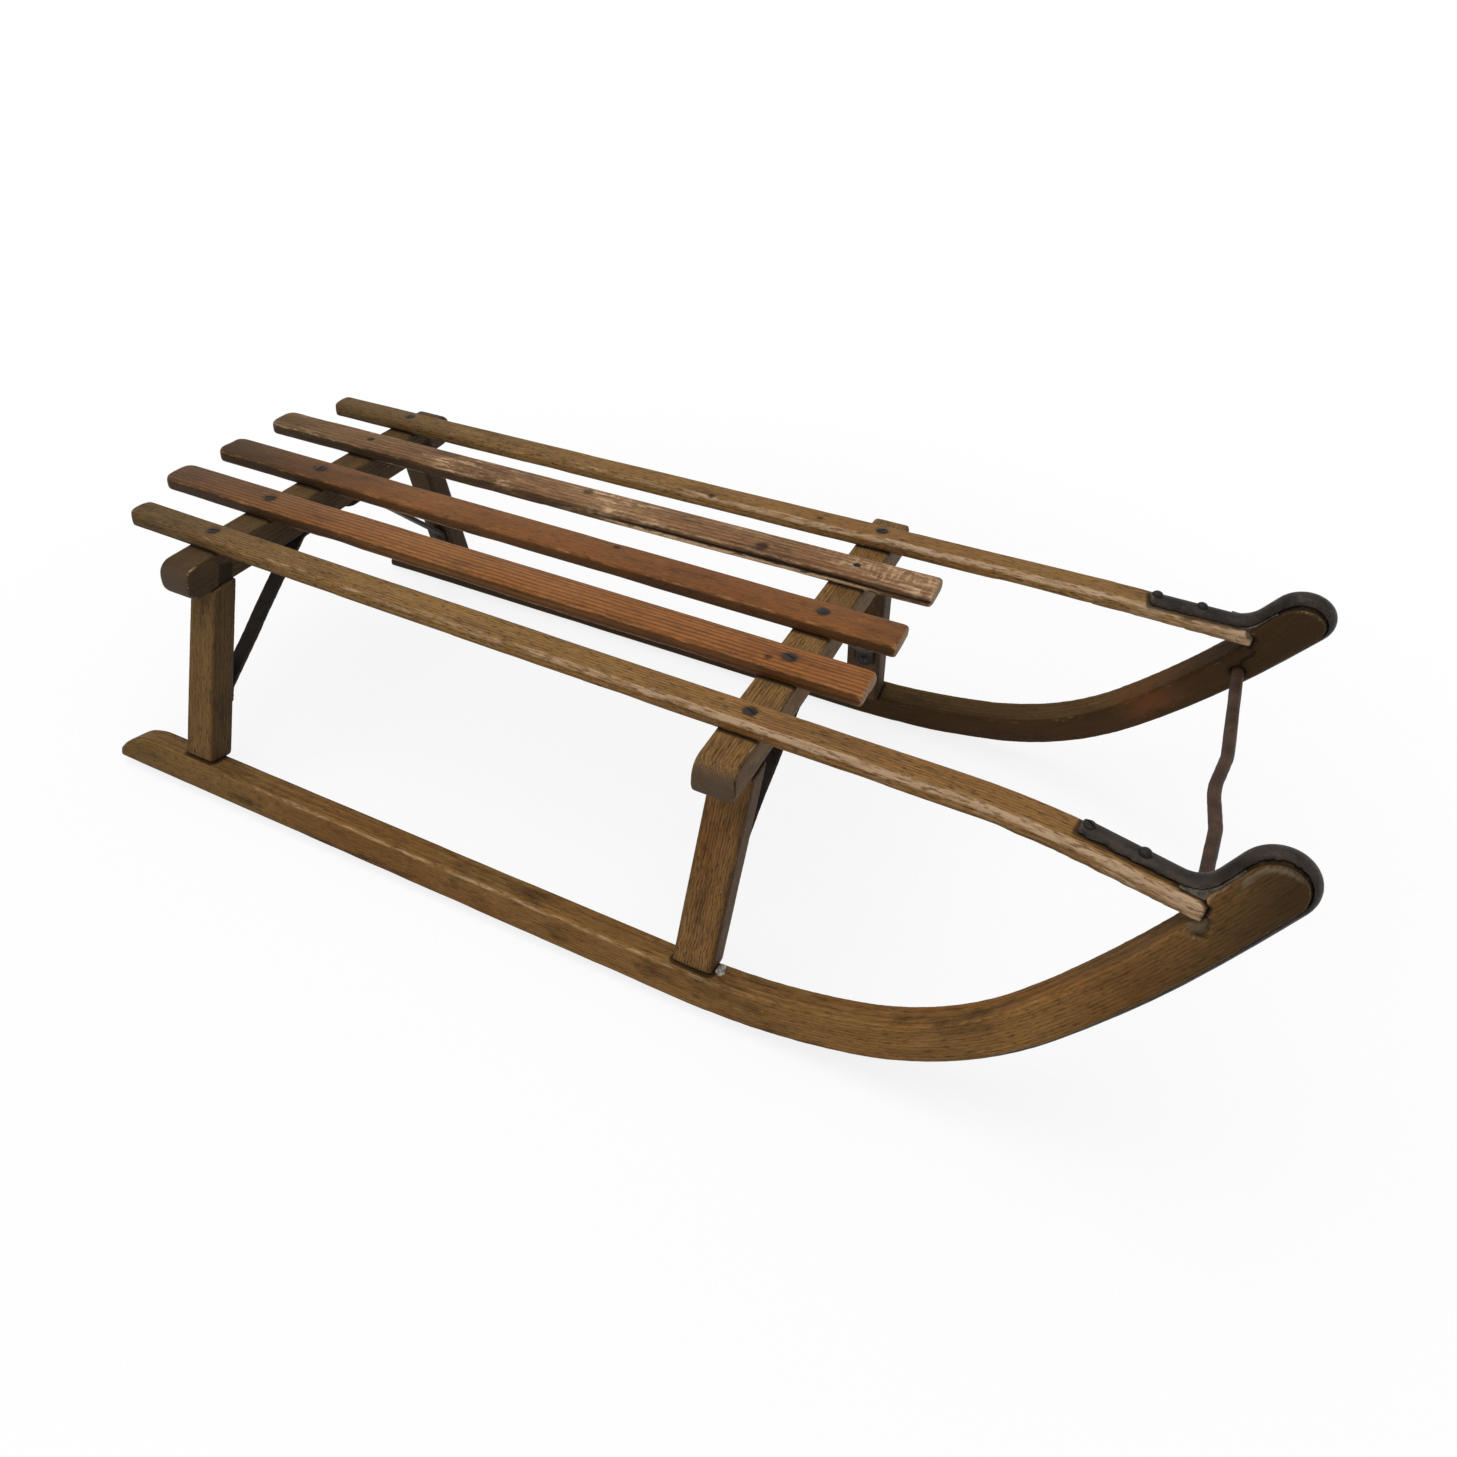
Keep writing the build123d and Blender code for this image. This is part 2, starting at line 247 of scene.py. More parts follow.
class SledColours(bpy.types.PropertyGroup):
    """Colours of the woods, irons and floor."""

    ash: colour("Ash", "Aged ash of runners, legs and crossbars", 141, 103, 57)
    ash_warm: colour("Ash, warm", "Warmer patches of that ash", 144, 94, 44)
    ash_dark: colour("Ash grain", "Its dark grain and pores", 74, 53, 29)
    ash_worn: colour("Ash worn", "Its bare wood on rubbed edges", 176, 146, 110)
    ash_end: colour("Ash ends", "Its grey end grain", 84, 70, 56)
    rail: colour("Rails", "Lighter ash of the two rails", 148, 110, 58)
    rail_warm: colour("Rails, warm", "Warmer patches of the rails", 142, 101, 53)
    rail_dark: colour("Rail grain", "Dark grain and pores of the rails", 90, 64, 37)
    rail_worn: colour("Rails worn", "Silvery wood of their rubbed sides", 180, 152, 122)
    straight: colour("Right slat", "Straight-grained softwood slat", 146, 96, 48)
    straight_warm: colour("Right slat, warm", "Its orange patches", 152, 92, 38)
    straight_dark: colour("Right slat grain", "Its grain lines", 88, 52, 26)
    smooth: colour("Middle slat", "Smooth reddish slat", 126, 80, 41)
    smooth_warm: colour("Middle slat, warm", "Its redder patches", 116, 71, 35)
    smooth_dark: colour("Middle slat grain", "Its darker patches", 80, 52, 31)
    flaky: colour("Left slat", "Weathered slat", 154, 116, 80)
    flaky_warm: colour("Left slat, warm", "Its warmer patches", 138, 96, 62)
    flaky_dark: colour("Left slat grain", "Its dark streaks", 60, 41, 28)
    flaky_worn: colour("Left slat flakes", "Its pale flaking streaks", 200, 166, 128)
    slat_worn: colour("Slats worn", "Rubbed edges of the slats", 172, 120, 74)
    slat_end: colour("Slat ends", "Pale end grain of the slats", 156, 132, 104)
    olive: colour("Olive", "Greyer olive cast of the rear", 126, 100, 58)
    # Also the colour of the painted shade in hollows, grooves and joints
    grime_and_shade: colour("Grime", "Dirt in corners and cracks", 32, 23, 15)
    # Painted shade: laid on faces turned from the light and underneath, and also darkening the rear ends
    # and the runners' noses
    shade_and_patina: colour("Patina", "Darkened wood on faces turned away", 46, 34, 20)
    stain: colour("Stain", "Reddish stain on a runner", 106, 65, 36)
    greyed: colour("Greyed wood", "Bruised grey spots", 106, 96, 79)
    iron: colour("Iron", "Forged iron, dark", 50, 41, 34)
    iron_dark: colour("Iron scale", "Black scale on the iron", 28, 23, 20)
    iron_rubbed: colour("Iron, rubbed", "Iron rubbed lighter", 94, 82, 72)
    rust: colour("Rust", "Brown rust of the draw bar", 74, 54, 40)
    rust_dark: colour("Rust, dark", "Darker rust of the draw bar", 52, 38, 30)
    rust_rubbed: colour("Rust, rubbed", "The draw bar rubbed lighter", 96, 74, 58)
    brace: colour("Braces", "Black-brown paint of the braces", 46, 38, 33)
    screw: colour("Screws", "Dull screw heads", 46, 38, 33)
    filler: colour("Filler", "Grey filler in the valley corner", 98, 92, 80)
    crumb: colour("Crumb", "Dried putty at a leg's foot", 206, 198, 182)
    floor: colour("Floor", "Studio floor", 247, 247, 247)


class SledSizes(bpy.types.PropertyGroup):
    """Sizes of the added detail."""

    voxel: size("Wood mesh step", "Spacing of the worn wood's points", 1.7)
    iron_voxel: size("Iron mesh step", "Spacing of the irons' points", 1.3)
    dent: size("Dents", "Depth of dents along worn edges", 0.7)
    waviness: size("Waviness", "How far faces stray from flat", 0.3)
    # How far the painted shade and soiling reach from a joint
    soil_and_shade_reach: size("Dirt reach", "How far dirt spreads from a joint", 2.3)
    slat_screw: size("Slat screw head", "Diameter of the slats' screw heads", 10.5)
    small_screw: size("Small screw head", "Diameter of the left slat's screw heads", 6.5)
    strap_screw: size("Strap screw head", "Diameter of the straps' screw heads", 8.6)
    brace_screw: size("Brace screw head", "Diameter of the braces' screw heads", 8.0)
    crumb: size("Crumb", "Diameter of the putty crumb", 10.0)
    edge_wear: share("Edge wear", "How much of the edges is rubbed bare", 1.0)


class SledStage(bpy.types.PropertyGroup):
    """Camera and light."""

    camera_place: FloatVectorProperty(
        name="Camera place",
        description="Camera position",
        subtype="TRANSLATION",
        default=(0.34009, -0.74397, 0.7189),
    )
    azimuth: angle("Azimuth", "Camera round the sled", 27.89)
    elevation: angle("Elevation", "Camera above it", 36.0)
    roll: angle("Roll", "Camera tilt", 0.996)
    lens: FloatProperty(name="Lens", description="Focal length in mm", default=28.367)
    shift_x: FloatProperty(name="Shift across", description="Lens shift", default=0.0809)
    shift_y: FloatProperty(name="Shift up", description="Lens shift", default=-0.036)
    key_power: power("Key light", "Overhead softbox", 42.0)
    fill_power: power("Fill light", "Side softbox", 4.0)
    world_light: FloatProperty(name="World light", description="Even light all round", default=0.34)


def colours():
    """The colour settings."""
    return bpy.context.scene.sled_colours


def sizes():
    """The size settings."""
    return bpy.context.scene.sled_sizes


def seeded(name):
    """Random draws that are the same each run for one piece."""
    return random.Random(sum((i + 1) * ord(c) for i, c in enumerate(name)))


# Shader trees


def add_node(tree, kind, inputs=None, **settings):
    """New node with its settings and inputs; an input is a value or another node's socket."""
    made = tree.nodes.new(kind)
    for key, value in settings.items():
        setattr(made, key, value)
    for key, value in (inputs or {}).items():
        if isinstance(value, bpy.types.NodeSocket):
            tree.links.new(value, made.inputs[key])
        else:
            made.inputs[key].default_value = value
    return made


def calc(tree, operation, first, second=0.5, clamp=False):
    """Math node's output."""
    made = add_node(tree, "ShaderNodeMath", {0: first, 1: second}, operation=operation, use_clamp=clamp)
    return made.outputs[0]


def times(tree, first, second):
    """Product of two values."""
    return calc(tree, "MULTIPLY", first, second)


def plus(tree, first, second):
    """Sum of two values."""
    return calc(tree, "ADD", first, second)


def ramp(tree, value, low, high):
    """Value brought from low..high to 0..1, smoothly."""
    made = add_node(
        tree,
        "ShaderNodeMapRange",
        {"Value": value, "From Min": low, "From Max": high},
        interpolation_type="SMOOTHSTEP",
    )
    return made.outputs["Result"]


def blend(tree, factor, first, second):
    """Colour mix; each colour is a plain triple or a socket."""
    made = add_node(tree, "ShaderNodeMix", {0: factor}, data_type="RGBA")
    for slot, value in ((6, first), (7, second)):
        if isinstance(value, bpy.types.NodeSocket):
            tree.links.new(value, made.inputs[slot])
        else:
            made.inputs[slot].default_value = (*value, 1)
    return made.outputs[2]


def streaks(tree, vector, along, across, detail, roughness):
    """Noise drawn out along the grain; along and across are its counts per metre."""
    scaled = add_node(tree, "ShaderNodeMapping", {"Vector": vector, "Scale": (along, across, across)})
    made = add_node(
        tree,
        "ShaderNodeTexNoise",
        {"Vector": scaled.outputs[0], "Scale": 1.0, "Detail": detail, "Roughness": roughness},
    )
    return made.outputs[0]


def dots(tree, vector, per_metre, rarity):
    """Mask of tiny round dots, the fewer the higher the rarity."""
    cells = add_node(tree, "ShaderNodeTexVoronoi", {"Vector": vector, "Scale": per_metre}).outputs
    chosen = calc(tree, "GREATER_THAN", cells["Color"], rarity)
    return times(tree, calc(tree, "LESS_THAN", cells["Distance"], DOT_RADIUS), chosen)


def new_material(name):
    """Empty material with its tree and Principled shader."""
    material = bpy.data.materials.new(name)
    material.use_nodes = True
    tree = material.node_tree
    return material, tree, tree.nodes["Principled BSDF"]


def attribute(tree, name, output="Fac"):
    """A value that the mesh carries at its points."""
    return add_node(tree, "ShaderNodeAttribute", attribute_name=name).outputs[output]


def finish_shader(tree, shader, base, rough, height, strength, distance):
    """Link colour, roughness and bump."""
    bump = add_node(
        tree, "ShaderNodeBump", {"Strength": strength, "Distance": distance, "Height": height}
    )
    tree.links.new(base, shader.inputs["Base Color"])
    tree.links.new(rough, shader.inputs["Roughness"])
    tree.links.new(bump.outputs[0], shader.inputs["Normal"])


def growth_rings(tree, grain, lines):
    """Rings about the grain, drawn out along it."""
    drawn = add_node(tree, "ShaderNodeMapping", {"Vector": grain, "Scale": RING_STRETCH})
    return add_node(
        tree,
        "ShaderNodeTexWave",
        {
            "Vector": drawn.outputs[0],
            "Scale": lines,
            "Distortion": 3.0,
            "Detail": 3.0,
            "Detail Scale": 0.6,
            "Detail Roughness": 0.6,
        },
        wave_type="RINGS",
        rings_direction="X",
        wave_profile="SAW",
    ).outputs["Fac"]


def wood(
    name, kind, worn, end, rings=0.4, lines=95.0, fibres=0.6, pores=0.6, blotches=0.5, flakes=0.0,
    rough=0.62, gloss=0.12,
):
    """Aged wood: growth rings, fibres, pores, stains, rubbed edges and soiling along the grain, with
    painted shade, and a painted highlight on the slats' near edges.
    """
    material, tree, shader = new_material(name)
    tint = colours()
    base, warm, dark, worn, end = (
        getattr(tint, key) for key in (kind, f"{kind}_warm", f"{kind}_dark", worn, end)
    )
    grain = attribute(tree, "grain", "Vector")
    ring = growth_rings(tree, grain, lines)
    drawn = {key: streaks(tree, grain, *row) for key, row in WOOD_NOISE.items()}

    def between(key, low, high):
        return ramp(tree, drawn[key], low, high)

    def swayed(value, key, amount):
        return plus(tree, value, times(tree, calc(tree, "SUBTRACT", drawn[key], 0.5), amount))

    tone = blend(tree, between("cloud", 0.4, 0.62), base, warm)

    def lay(over, mask, amount):
        """Lay a colour over the tone so far, as far as its mask goes."""
        nonlocal tone
        tone = blend(tree, times(tree, mask, amount), tone, over)

    lay(tint.olive, attribute(tree, "olive"), 0.75)
    lay(worn, between("mottle", 0.46, 0.3), 0.22)
    lay(dark, between("mottle", 0.52, 0.72), 0.35 * blotches)
    lay(dark, between("drift", 0.5, 0.68), 0.6 * blotches)
    shade = times(tree, ramp(tree, ring, 0.35, 1.0), rings)
    shade = plus(tree, shade, times(tree, between("band", 0.36, 0.7), 0.4 * fibres))
    shade = plus(tree, shade, times(tree, between("fibre", 0.4, 0.68), 0.75 * fibres))
    tone = blend(tree, calc(tree, "MULTIPLY", shade, 0.85, True), tone, dark)
    pore = between("pore", 0.55, 0.66)
    lay(tint.grime_and_shade, pore, pores)
    lay(tint.grime_and_shade, between("stain", 0.52, 0.72), blotches)
    if flakes:
        drawn.update({key: streaks(tree, grain, *row) for key, row in FLAKE_NOISE.items()})
        where = between("where", 0.42, 0.6)
        lay(worn, times(tree, between("pale", 0.5, 0.6), where), flakes)
        bars = times(tree, between("bars", 0.45, 0.68), where)
        lay(worn, times(tree, bars, attribute(tree, "crossed")), 0.62)

    # Painted shade on faces turned from the light and underneath, with the darker rear ends and noses,
    # broken up by cloudy noise
    lay(tint.shade_and_patina, ramp(tree, swayed(attribute(tree, "shade_and_patina"), "cloud", 0.8), 0.05, 0.95), 0.9)
    lay(tint.stain, times(tree, attribute(tree, "warm"), between("stain", 0.36, 0.6)), 0.8)
    # Rubbed edges laid lighter; along the slats' near upper edges this is partly a painted highlight
    wear_and_sheen = times(tree, attribute(tree, "wear_and_sheen"), sizes().edge_wear)
    rubbed = ramp(tree, plus(tree, wear_and_sheen, times(tree, drawn["patchy"], 1.6)), 1.2, 1.65)
    fleck = between("fleck", 0.54, 0.64)
    lay(blend(tree, times(tree, fleck, 0.8), worn, dark), rubbed, 0.85)
    end_tone = blend(tree, times(tree, ramp(tree, ring, 0.2, 0.95), 0.3), end, tint.grime_and_shade)
    lay(end_tone, attribute(tree, "end"), 0.8)
    bruised = plus(tree, attribute(tree, "grey"), times(tree, drawn["patchy"], 0.9))
    lay(tint.greyed, ramp(tree, bruised, 0.7, 1.2), 0.8)
    # Soiling, and painted shade in hollows, grooves and where the pieces meet
    darkening = ramp(tree, swayed(attribute(tree, "grime_and_shade"), "stain", 0.9), 0.12, 0.8)
    lay(tint.grime_and_shade, darkening, 0.8)
    lay(tint.grime_and_shade, dots(tree, grain, 46.0, 0.72), 0.85)
    lay(tint.crumb, dots(tree, grain, 75.0, 0.75), 0.6)

    rougher = plus(tree, times(tree, drawn["fibre"], 0.22), rough - 0.1)
    rougher = calc(tree, "ADD", rougher, times(tree, darkening, 0.15), True)
    height = calc(tree, "SUBTRACT", times(tree, drawn["fibre"], 0.7), pore)
    height = calc(tree, "SUBTRACT", height, times(tree, fleck, rubbed))
    finish_shader(tree, shader, tone, rougher, height, 0.55, 0.0005)
    shader.inputs["Specular IOR Level"].default_value = gloss
    return material


def forged(name, base, dark, rubbed, rough=0.5, metallic=0.4, spotted=0.5, gloss=0.16):
    """Old iron: dark scale, fine pits and spots, edges rubbed lighter, and painted shade in its hollows
    and joints.
    """
    material, tree, shader = new_material(name)
    place = add_node(tree, "ShaderNodeTexCoord").outputs["Object"]
    scale = streaks(tree, place, 60, 60, 6, 0.65)
    pits = streaks(tree, place, 420, 420, 3, 0.6)
    spotting = streaks(tree, place, 110, 110, 6, 0.72)
    worn = plus(tree, times(tree, attribute(tree, "wear_and_sheen"), 0.35), spotting)
    tone = blend(tree, ramp(tree, scale, 0.35, 0.65), dark, base)
    tone = blend(tree, times(tree, ramp(tree, worn, 0.58, 0.84), spotted), tone, rubbed)
    tone = blend(tree, times(tree, ramp(tree, pits, 0.56, 0.68), 0.6), tone, dark)
    # Painted shade, with some soiling, in hollows and where the iron meets other pieces
    tone = blend(tree, times(tree, attribute(tree, "grime_and_shade"), 0.7), tone, dark)
    rougher = calc(tree, "ADD", times(tree, pits, 0.3), rough - 0.15, True)
    height = plus(tree, scale, times(tree, pits, 0.5))
    finish_shader(tree, shader, tone, rougher, height, 0.5, 0.0006)
    shader.inputs["Metallic"].default_value = metallic
    shader.inputs["Specular IOR Level"].default_value = gloss
    return material


def crumbly(name, base, dark):
    """Dried filler: grainy and matt."""
    material, tree, shader = new_material(name)
    place = add_node(tree, "ShaderNodeTexCoord").outputs["Object"]
    lumps = streaks(tree, place, 240, 240, 6, 0.7)
    tone = blend(tree, ramp(tree, lumps, 0.35, 0.7), dark, base)
    finish_shader(tree, shader, tone, calc(tree, "ADD", lumps, 0.35, True), lumps, 0.8, 0.001)
    return material


# Worn meshes from the frame's solids


def points_of(mesh, what="co"):
    """Coordinates or normals of a mesh's points as an array."""
    values = np.empty(len(mesh.vertices) * 3, np.float32)
    mesh.vertices.foreach_get(what, values)
    return values.reshape(-1, 3).astype(float)


def edges_of(mesh):
    """Pairs of points joined by an edge."""
    pairs = np.empty(len(mesh.edges) * 2, np.int32)
    mesh.edges.foreach_get("vertices", pairs)
    return pairs.reshape(-1, 2)


def smoothed(values, pairs, rounds):
    """Values averaged with their neighbours' a few times."""
    ends = np.concatenate([pairs[:, 0], pairs[:, 1]])
    starts = np.concatenate([pairs[:, 1], pairs[:, 0]])
    count = np.maximum(np.bincount(ends, minlength=len(values)), 1)
    for _ in range(rounds):
        near = np.stack(
            [
                np.bincount(ends, weights=values[starts, i], minlength=len(values)) / count
                for i in range(values.shape[1])
            ],
            axis=1,
        )
        values = (values + near) / 2
    return values


def linked(name, data):
    """New object in the scene."""
    made = bpy.data.objects.new(name, data)
    bpy.context.scene.collection.objects.link(made)
    return made


def applied(holder):
    """Mesh of an object with its modifiers applied; the object itself is taken away."""
    depsgraph = bpy.context.evaluated_depsgraph_get()
    mesh = bpy.data.meshes.new_from_object(holder.evaluated_get(depsgraph))
    bpy.data.objects.remove(holder)
    return mesh


def add_piece(name, mesh, material, place=None):
    """Visible piece in its place, which rides the sled's one body."""
    piece = linked(name, mesh)
    if place is not None:
        piece.matrix_world = place
    if not mesh.materials:
        mesh.materials.append(material)
    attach(piece, "root")
    return piece


def remeshed(node, voxel):
    """Even, fine mesh of a solid."""
    holder = linked(f"{node}_holder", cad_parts[node].data.copy())
    remesh = holder.modifiers.new("Even mesh", "REMESH")
    remesh.mode = "VOXEL"
    remesh.voxel_size = voxel
    return applied(holder)


def noise_at(points, per_metre, offset):
    """Smooth noise at each point, about -1 to 1."""
    shifted = points * per_metre + offset
    return np.array([noise.noise(p) for p in shifted])


def straight_grain(points):
    """Grain of a straight or slightly bent piece: along its longest way, following its middle."""
    centred = points - points.mean(0)
    _, axes = np.linalg.eigh(centred.T @ centred)
    axes = axes[:, ::-1]
    for i in range(3):
        if axes[np.abs(axes[:, i]).argmax(), i] < 0:
            axes[:, i] *= -1
    local = centred @ axes
    stations = np.linspace(local[:, 0].min(), local[:, 0].max(), GRAIN_STATIONS)
    bins = np.clip(np.digitize(local[:, 0], stations) - 1, 0, GRAIN_STATIONS - 2)
    middles = (stations[:-1] + stations[1:]) / 2
    for i in (1, 2):
        mean = [
            local[bins == b, i].mean() if (bins == b).any() else 0 for b in range(GRAIN_STATIONS - 1)
        ]
        local[:, i] -= np.interp(local[:, 0], middles, mean)
    return local, np.broadcast_to(axes[:, 0], points.shape)


def sole_points():
    """Runner's underside as places along it, up the lean, with the direction there."""
    back = cad_box[0].x
    rows = [(back, 0.0, 0.0), (CURL_START, 0.0, 0.0)]
    x, up, heading = CURL_START, 0.0, 0.0
    for radius, turn in CURL_ARCS:
        steps = max(2, int(radius * math.radians(turn) / SOLE_STEP))
        for _ in range(steps):
            bend = math.radians(turn) / steps
            chord = 2 * radius * math.sin(bend / 2)
            x += chord * math.cos(heading + bend / 2)
            up += chord * math.sin(heading + bend / 2)
            heading += bend
            rows.append((x, up, heading))
    for _ in range(TONGUE_STEPS):
        x += SOLE_STEP * math.cos(heading)
        up += SOLE_STEP * math.sin(heading)
        rows.append((x, up, heading))
    return np.array(rows)


def nose_middle():
    """Middle of the nose's round end, along and up the runner's plane."""
    x, up, heading = sole_points()[-1 - TONGUE_STEPS]
    ahead = np.array((math.cos(heading), math.sin(heading)))
    return np.array((x, up)) + TONGUE * ahead + NOSE_RADIUS * np.array((-ahead[1], ahead[0]))


def runner_local(points, side):
    """Places on a runner: along x, up the lean and outwards from its middle plane."""
    out = side * points[:, 1] - RUNNER_FOOT_Y
    rise = points[:, 2] - RUNNER_LIFT
    up = rise * math.cos(RUNNER_LEAN) - out * math.sin(RUNNER_LEAN)
    outward = out * math.cos(RUNNER_LEAN) + rise * math.sin(RUNNER_LEAN)
    return np.stack([points[:, 0], up, outward], axis=1)


def on_runner(side, x, up, outward=0.0):
    """The frame's point at a place on a runner."""
    y = RUNNER_FOOT_Y - up * math.sin(RUNNER_LEAN) + outward * math.cos(RUNNER_LEAN)
    z = RUNNER_LIFT + up * math.cos(RUNNER_LEAN) + outward * math.sin(RUNNER_LEAN)
    return Vector((x, side * y, z))


def bent_grain(points, side):
    """Grain of a runner, which follows its upsweep."""
    local = runner_local(points, side)
    rows = sole_points()
    steps = np.linalg.norm(np.diff(rows[:, :2], axis=0), axis=1)
    lengths = np.concatenate([[0], np.cumsum(steps)])
    starts, runs = rows[:-1, :2], np.diff(rows[:, :2], axis=0)
    depth = np.full(len(points), np.inf)
    along = np.zeros(len(points))
    heading = np.zeros(len(points))
    for i, (start, run) in enumerate(zip(starts, runs)):
        offset = local[:, :2] - start
        part = np.clip(offset @ run / (run @ run), 0, 1)
        gap = np.linalg.norm(offset - part[:, None] * run, axis=1)
        nearer = gap < depth
        depth[nearer] = gap[nearer]
        along[nearer] = lengths[i] + part[nearer] * steps[i]
        heading[nearer] = math.atan2(run[1], run[0])
    direction = np.stack(
        [
            np.cos(heading),
            -side * np.sin(heading) * math.sin(RUNNER_LEAN),
            np.sin(heading) * math.cos(RUNNER_LEAN),
        ],
        axis=1,
    )
    return np.stack([along, depth, local[:, 2]], axis=1), direction


def store(mesh, name, values):
    """Keep a number or a vector at each point of a mesh."""
    kind, key = ("FLOAT", "value") if values.ndim == 1 else ("FLOAT_VECTOR", "vector")
    layer = mesh.attributes.new(name, kind, "POINT")
    layer.data.foreach_set(key, values.astype(np.float32).ravel())


def spots(*marks):
    """Mark of soft round spots, each a centre and a radius."""

    def mask(points, normals):
        near = np.zeros(len(points))
        for centre, radius in marks:
            gap = np.linalg.norm(points - np.array(centre), axis=1)
            near = np.maximum(near, np.exp(-((gap / radius) ** 2)))
        return near

    return mask


def crack(start, end, width, sway=0.0012, waves=9):
    """Mark of a dark line from one point to another that sways a little."""
    start, run = np.array(start), np.array(end) - np.array(start)

    def mask(points, normals):
        part = np.clip((points - start) @ run / (run @ run), 0, 1)
        middle = start + part[:, None] * run
        middle = middle + np.sin(part * waves)[:, None] * sway * np.array(CRACK_SWAY)
        return np.exp(-((np.linalg.norm(points - middle, axis=1) / width) ** 2))

    return mask


def nearness(points, others):
    """1 where a point touches one of the other solids, and less the farther it is from them."""
    shape = bmesh.new()
    for name in others:
        shape.from_mesh(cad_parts[name].data)
    surface = BVHTree.FromBMesh(shape)
    shape.free()
    reach = sizes().soil_and_shade_reach
    limit = 3 * reach
    gaps = [surface.find_nearest(Vector(p), limit)[3] for p in points]
    gaps = np.array([limit if gap is None else gap for gap in gaps])
    return np.exp(-((gaps / reach) ** 2))


def either(*masks):
    """Mark made of the strongest of several."""

    def mask(points, normals):
        return np.maximum.reduce([part(points, normals) for part in masks])

    return mask


def mirrored(place, side):
    """A place on the left side, or the same on the right."""
    return np.array((place[0], side * place[1], place[2]))


def fade(points, *stations):
    """Value that changes along the sled, from places along it with the value at each."""
    return np.interp(points[:, 0], *zip(*stations))


def facing(normals, way):
    """How far faces look one way, 0 to 1."""
    return np.clip(normals @ way, 0, 1)


def worn_piece(
    node, material, side=None, edge_share=0.5, marks=None, groove=None, reshape=None, voxel=None
):
    """Worn copy of a solid in its place: soft dented edges, with grain, rubbed edges, soiling and painted
    shade marked.
    """
    draw = seeded(node)
    step = voxel or sizes().voxel
    mesh = remeshed(node, step)
    pairs = edges_of(mesh)
    points = points_of(mesh)
    normals = points_of(mesh, "normal")
    turn = ((points - smoothed(points, pairs, CURVE_ROUNDS)) * normals).sum(1) / step
    edge = smoothed(np.clip(turn * EDGE_GAIN - EDGE_START, 0, 1)[:, None], pairs, 1)[:, 0]
    hollow = smoothed(np.clip(-turn * HOLLOW_GAIN, 0, 1)[:, None], pairs, 3)[:, 0]
    offset = np.array([draw.uniform(-50, 50) for _ in range(3)])
    grain, direction = straight_grain(points) if side is None else bent_grain(points, side)

    made = {key: np.zeros(len(points)) for key in MARKS}
    made["wear_and_sheen"] = np.clip(edge * edge_share * WEAR_GAIN, 0, 1)
    # Painted shade in hollows and where the piece meets the others, kept with the real soiling
    made["grime_and_shade"] = np.maximum(hollow, nearness(points, [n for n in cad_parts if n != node]))
    for key, mark in (marks or {}).items():
        made[key] = np.maximum(made[key], mark(points, normals))
    made["grime_and_shade"] *= 1 - BRUISE * made["grey"]
    moved = smoothed(points, pairs, 2)
    if reshape is not None:
        moved += reshape(points)
    if groove is not None:
        depth = groove(points, normals)
        moved -= normals * depth[:, None]
        # Grooves painted darker the deeper they are: painted shade inside them, with soiling
        made["grime_and_shade"] = np.maximum(made["grime_and_shade"], np.clip(depth / GROOVE_GRIME_AND_SHADE_DEPTH, 0, 1))
    lumps = noise_at(grain * np.array(DENTS_PER_METRE), 1.0, offset)
    dents = np.clip(lumps - DENT_START, 0, 1) * edge * sizes().dent * DENT_GAIN
    waves = noise_at(points, WAVES_PER_METRE, offset) * sizes().waviness
    moved += normals * (np.minimum(waves, 0) - dents)[:, None]
    mesh.vertices.foreach_set("co", moved.astype(np.float32).ravel())
    shift = np.array([draw.uniform(-2, 2), draw.uniform(0.03, 0.06), draw.uniform(0.02, 0.05)])
    store(mesh, "grain", grain + shift)
    for key, values in made.items():
        store(mesh, key, np.clip(values, 0, 1))
    endways = np.abs((normals * direction).sum(1))
    store(mesh, "end", np.clip((endways - END_START) * END_GAIN, 0, 1))
    mesh.polygons.foreach_set("use_smooth", np.ones(len(mesh.polygons), bool))
    mesh.materials.clear()
    mesh.update()
    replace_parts(add_piece(f"worn_{node}", mesh, material), node)


def rear_olive(points, normals):
    """Olive cast that grows towards the rear."""
    return fade(points, (-0.48, 1.0), (0.15, 0.0))


def leg_shade(points, normals):
    """Painted shade on a leg, most where it looks forwards, backwards or down."""
    ends = LEG_FACE_SHADE["ends"] * np.abs(normals[:, 0])
    sides = LEG_FACE_SHADE["sides"] * np.abs(normals[:, 1])
    return ends + sides + UNDER_SHADE * facing(normals, -UP)


def rear_age_and_under_shade(points, normals):
    """Darker towards the rear ends, with painted shade underneath."""
    return fade(points, (-0.48, 0.68), (-0.2, 0.08)) + UNDER_SHADE * facing(normals, -UP)


def slat_age_and_shade(points, normals):
    """Painted shade on a slat's sides as well."""
    sides = 2 * np.clip(np.abs(normals[:, 1]) - 0.5, 0, 0.5)
    return rear_age_and_under_shade(points, normals) + SLAT_SIDE_SHADE * sides


def ash():
    """Ash of legs and crossbars, made once."""
    return bpy.data.materials.get("aged_ash") or wood(
        "aged_ash", "ash", "ash_worn", "ash_end", rings=0.55, lines=180.0, fibres=0.7, blotches=0.6
    )


def screw_places(node):
    """Where a rail's or slat's two screws go."""
    return {place: (x, middle_across(node, x), SEAT_TOP) for place, x in SCREW_X.items()}


def head_size(node):
    """Diameter of a rail's or slat's screw heads."""
    return sizes().small_screw if node == "slat_left" else sizes().slat_screw


def screw_dirt(node, *more):
    """Mark of dirt round a rail's or slat's screws, with other spots beside."""
    rims = [(at, SCREW_DIRT * head_size(node)) for at in screw_places(node).values()]
    return spots(*rims, *more)


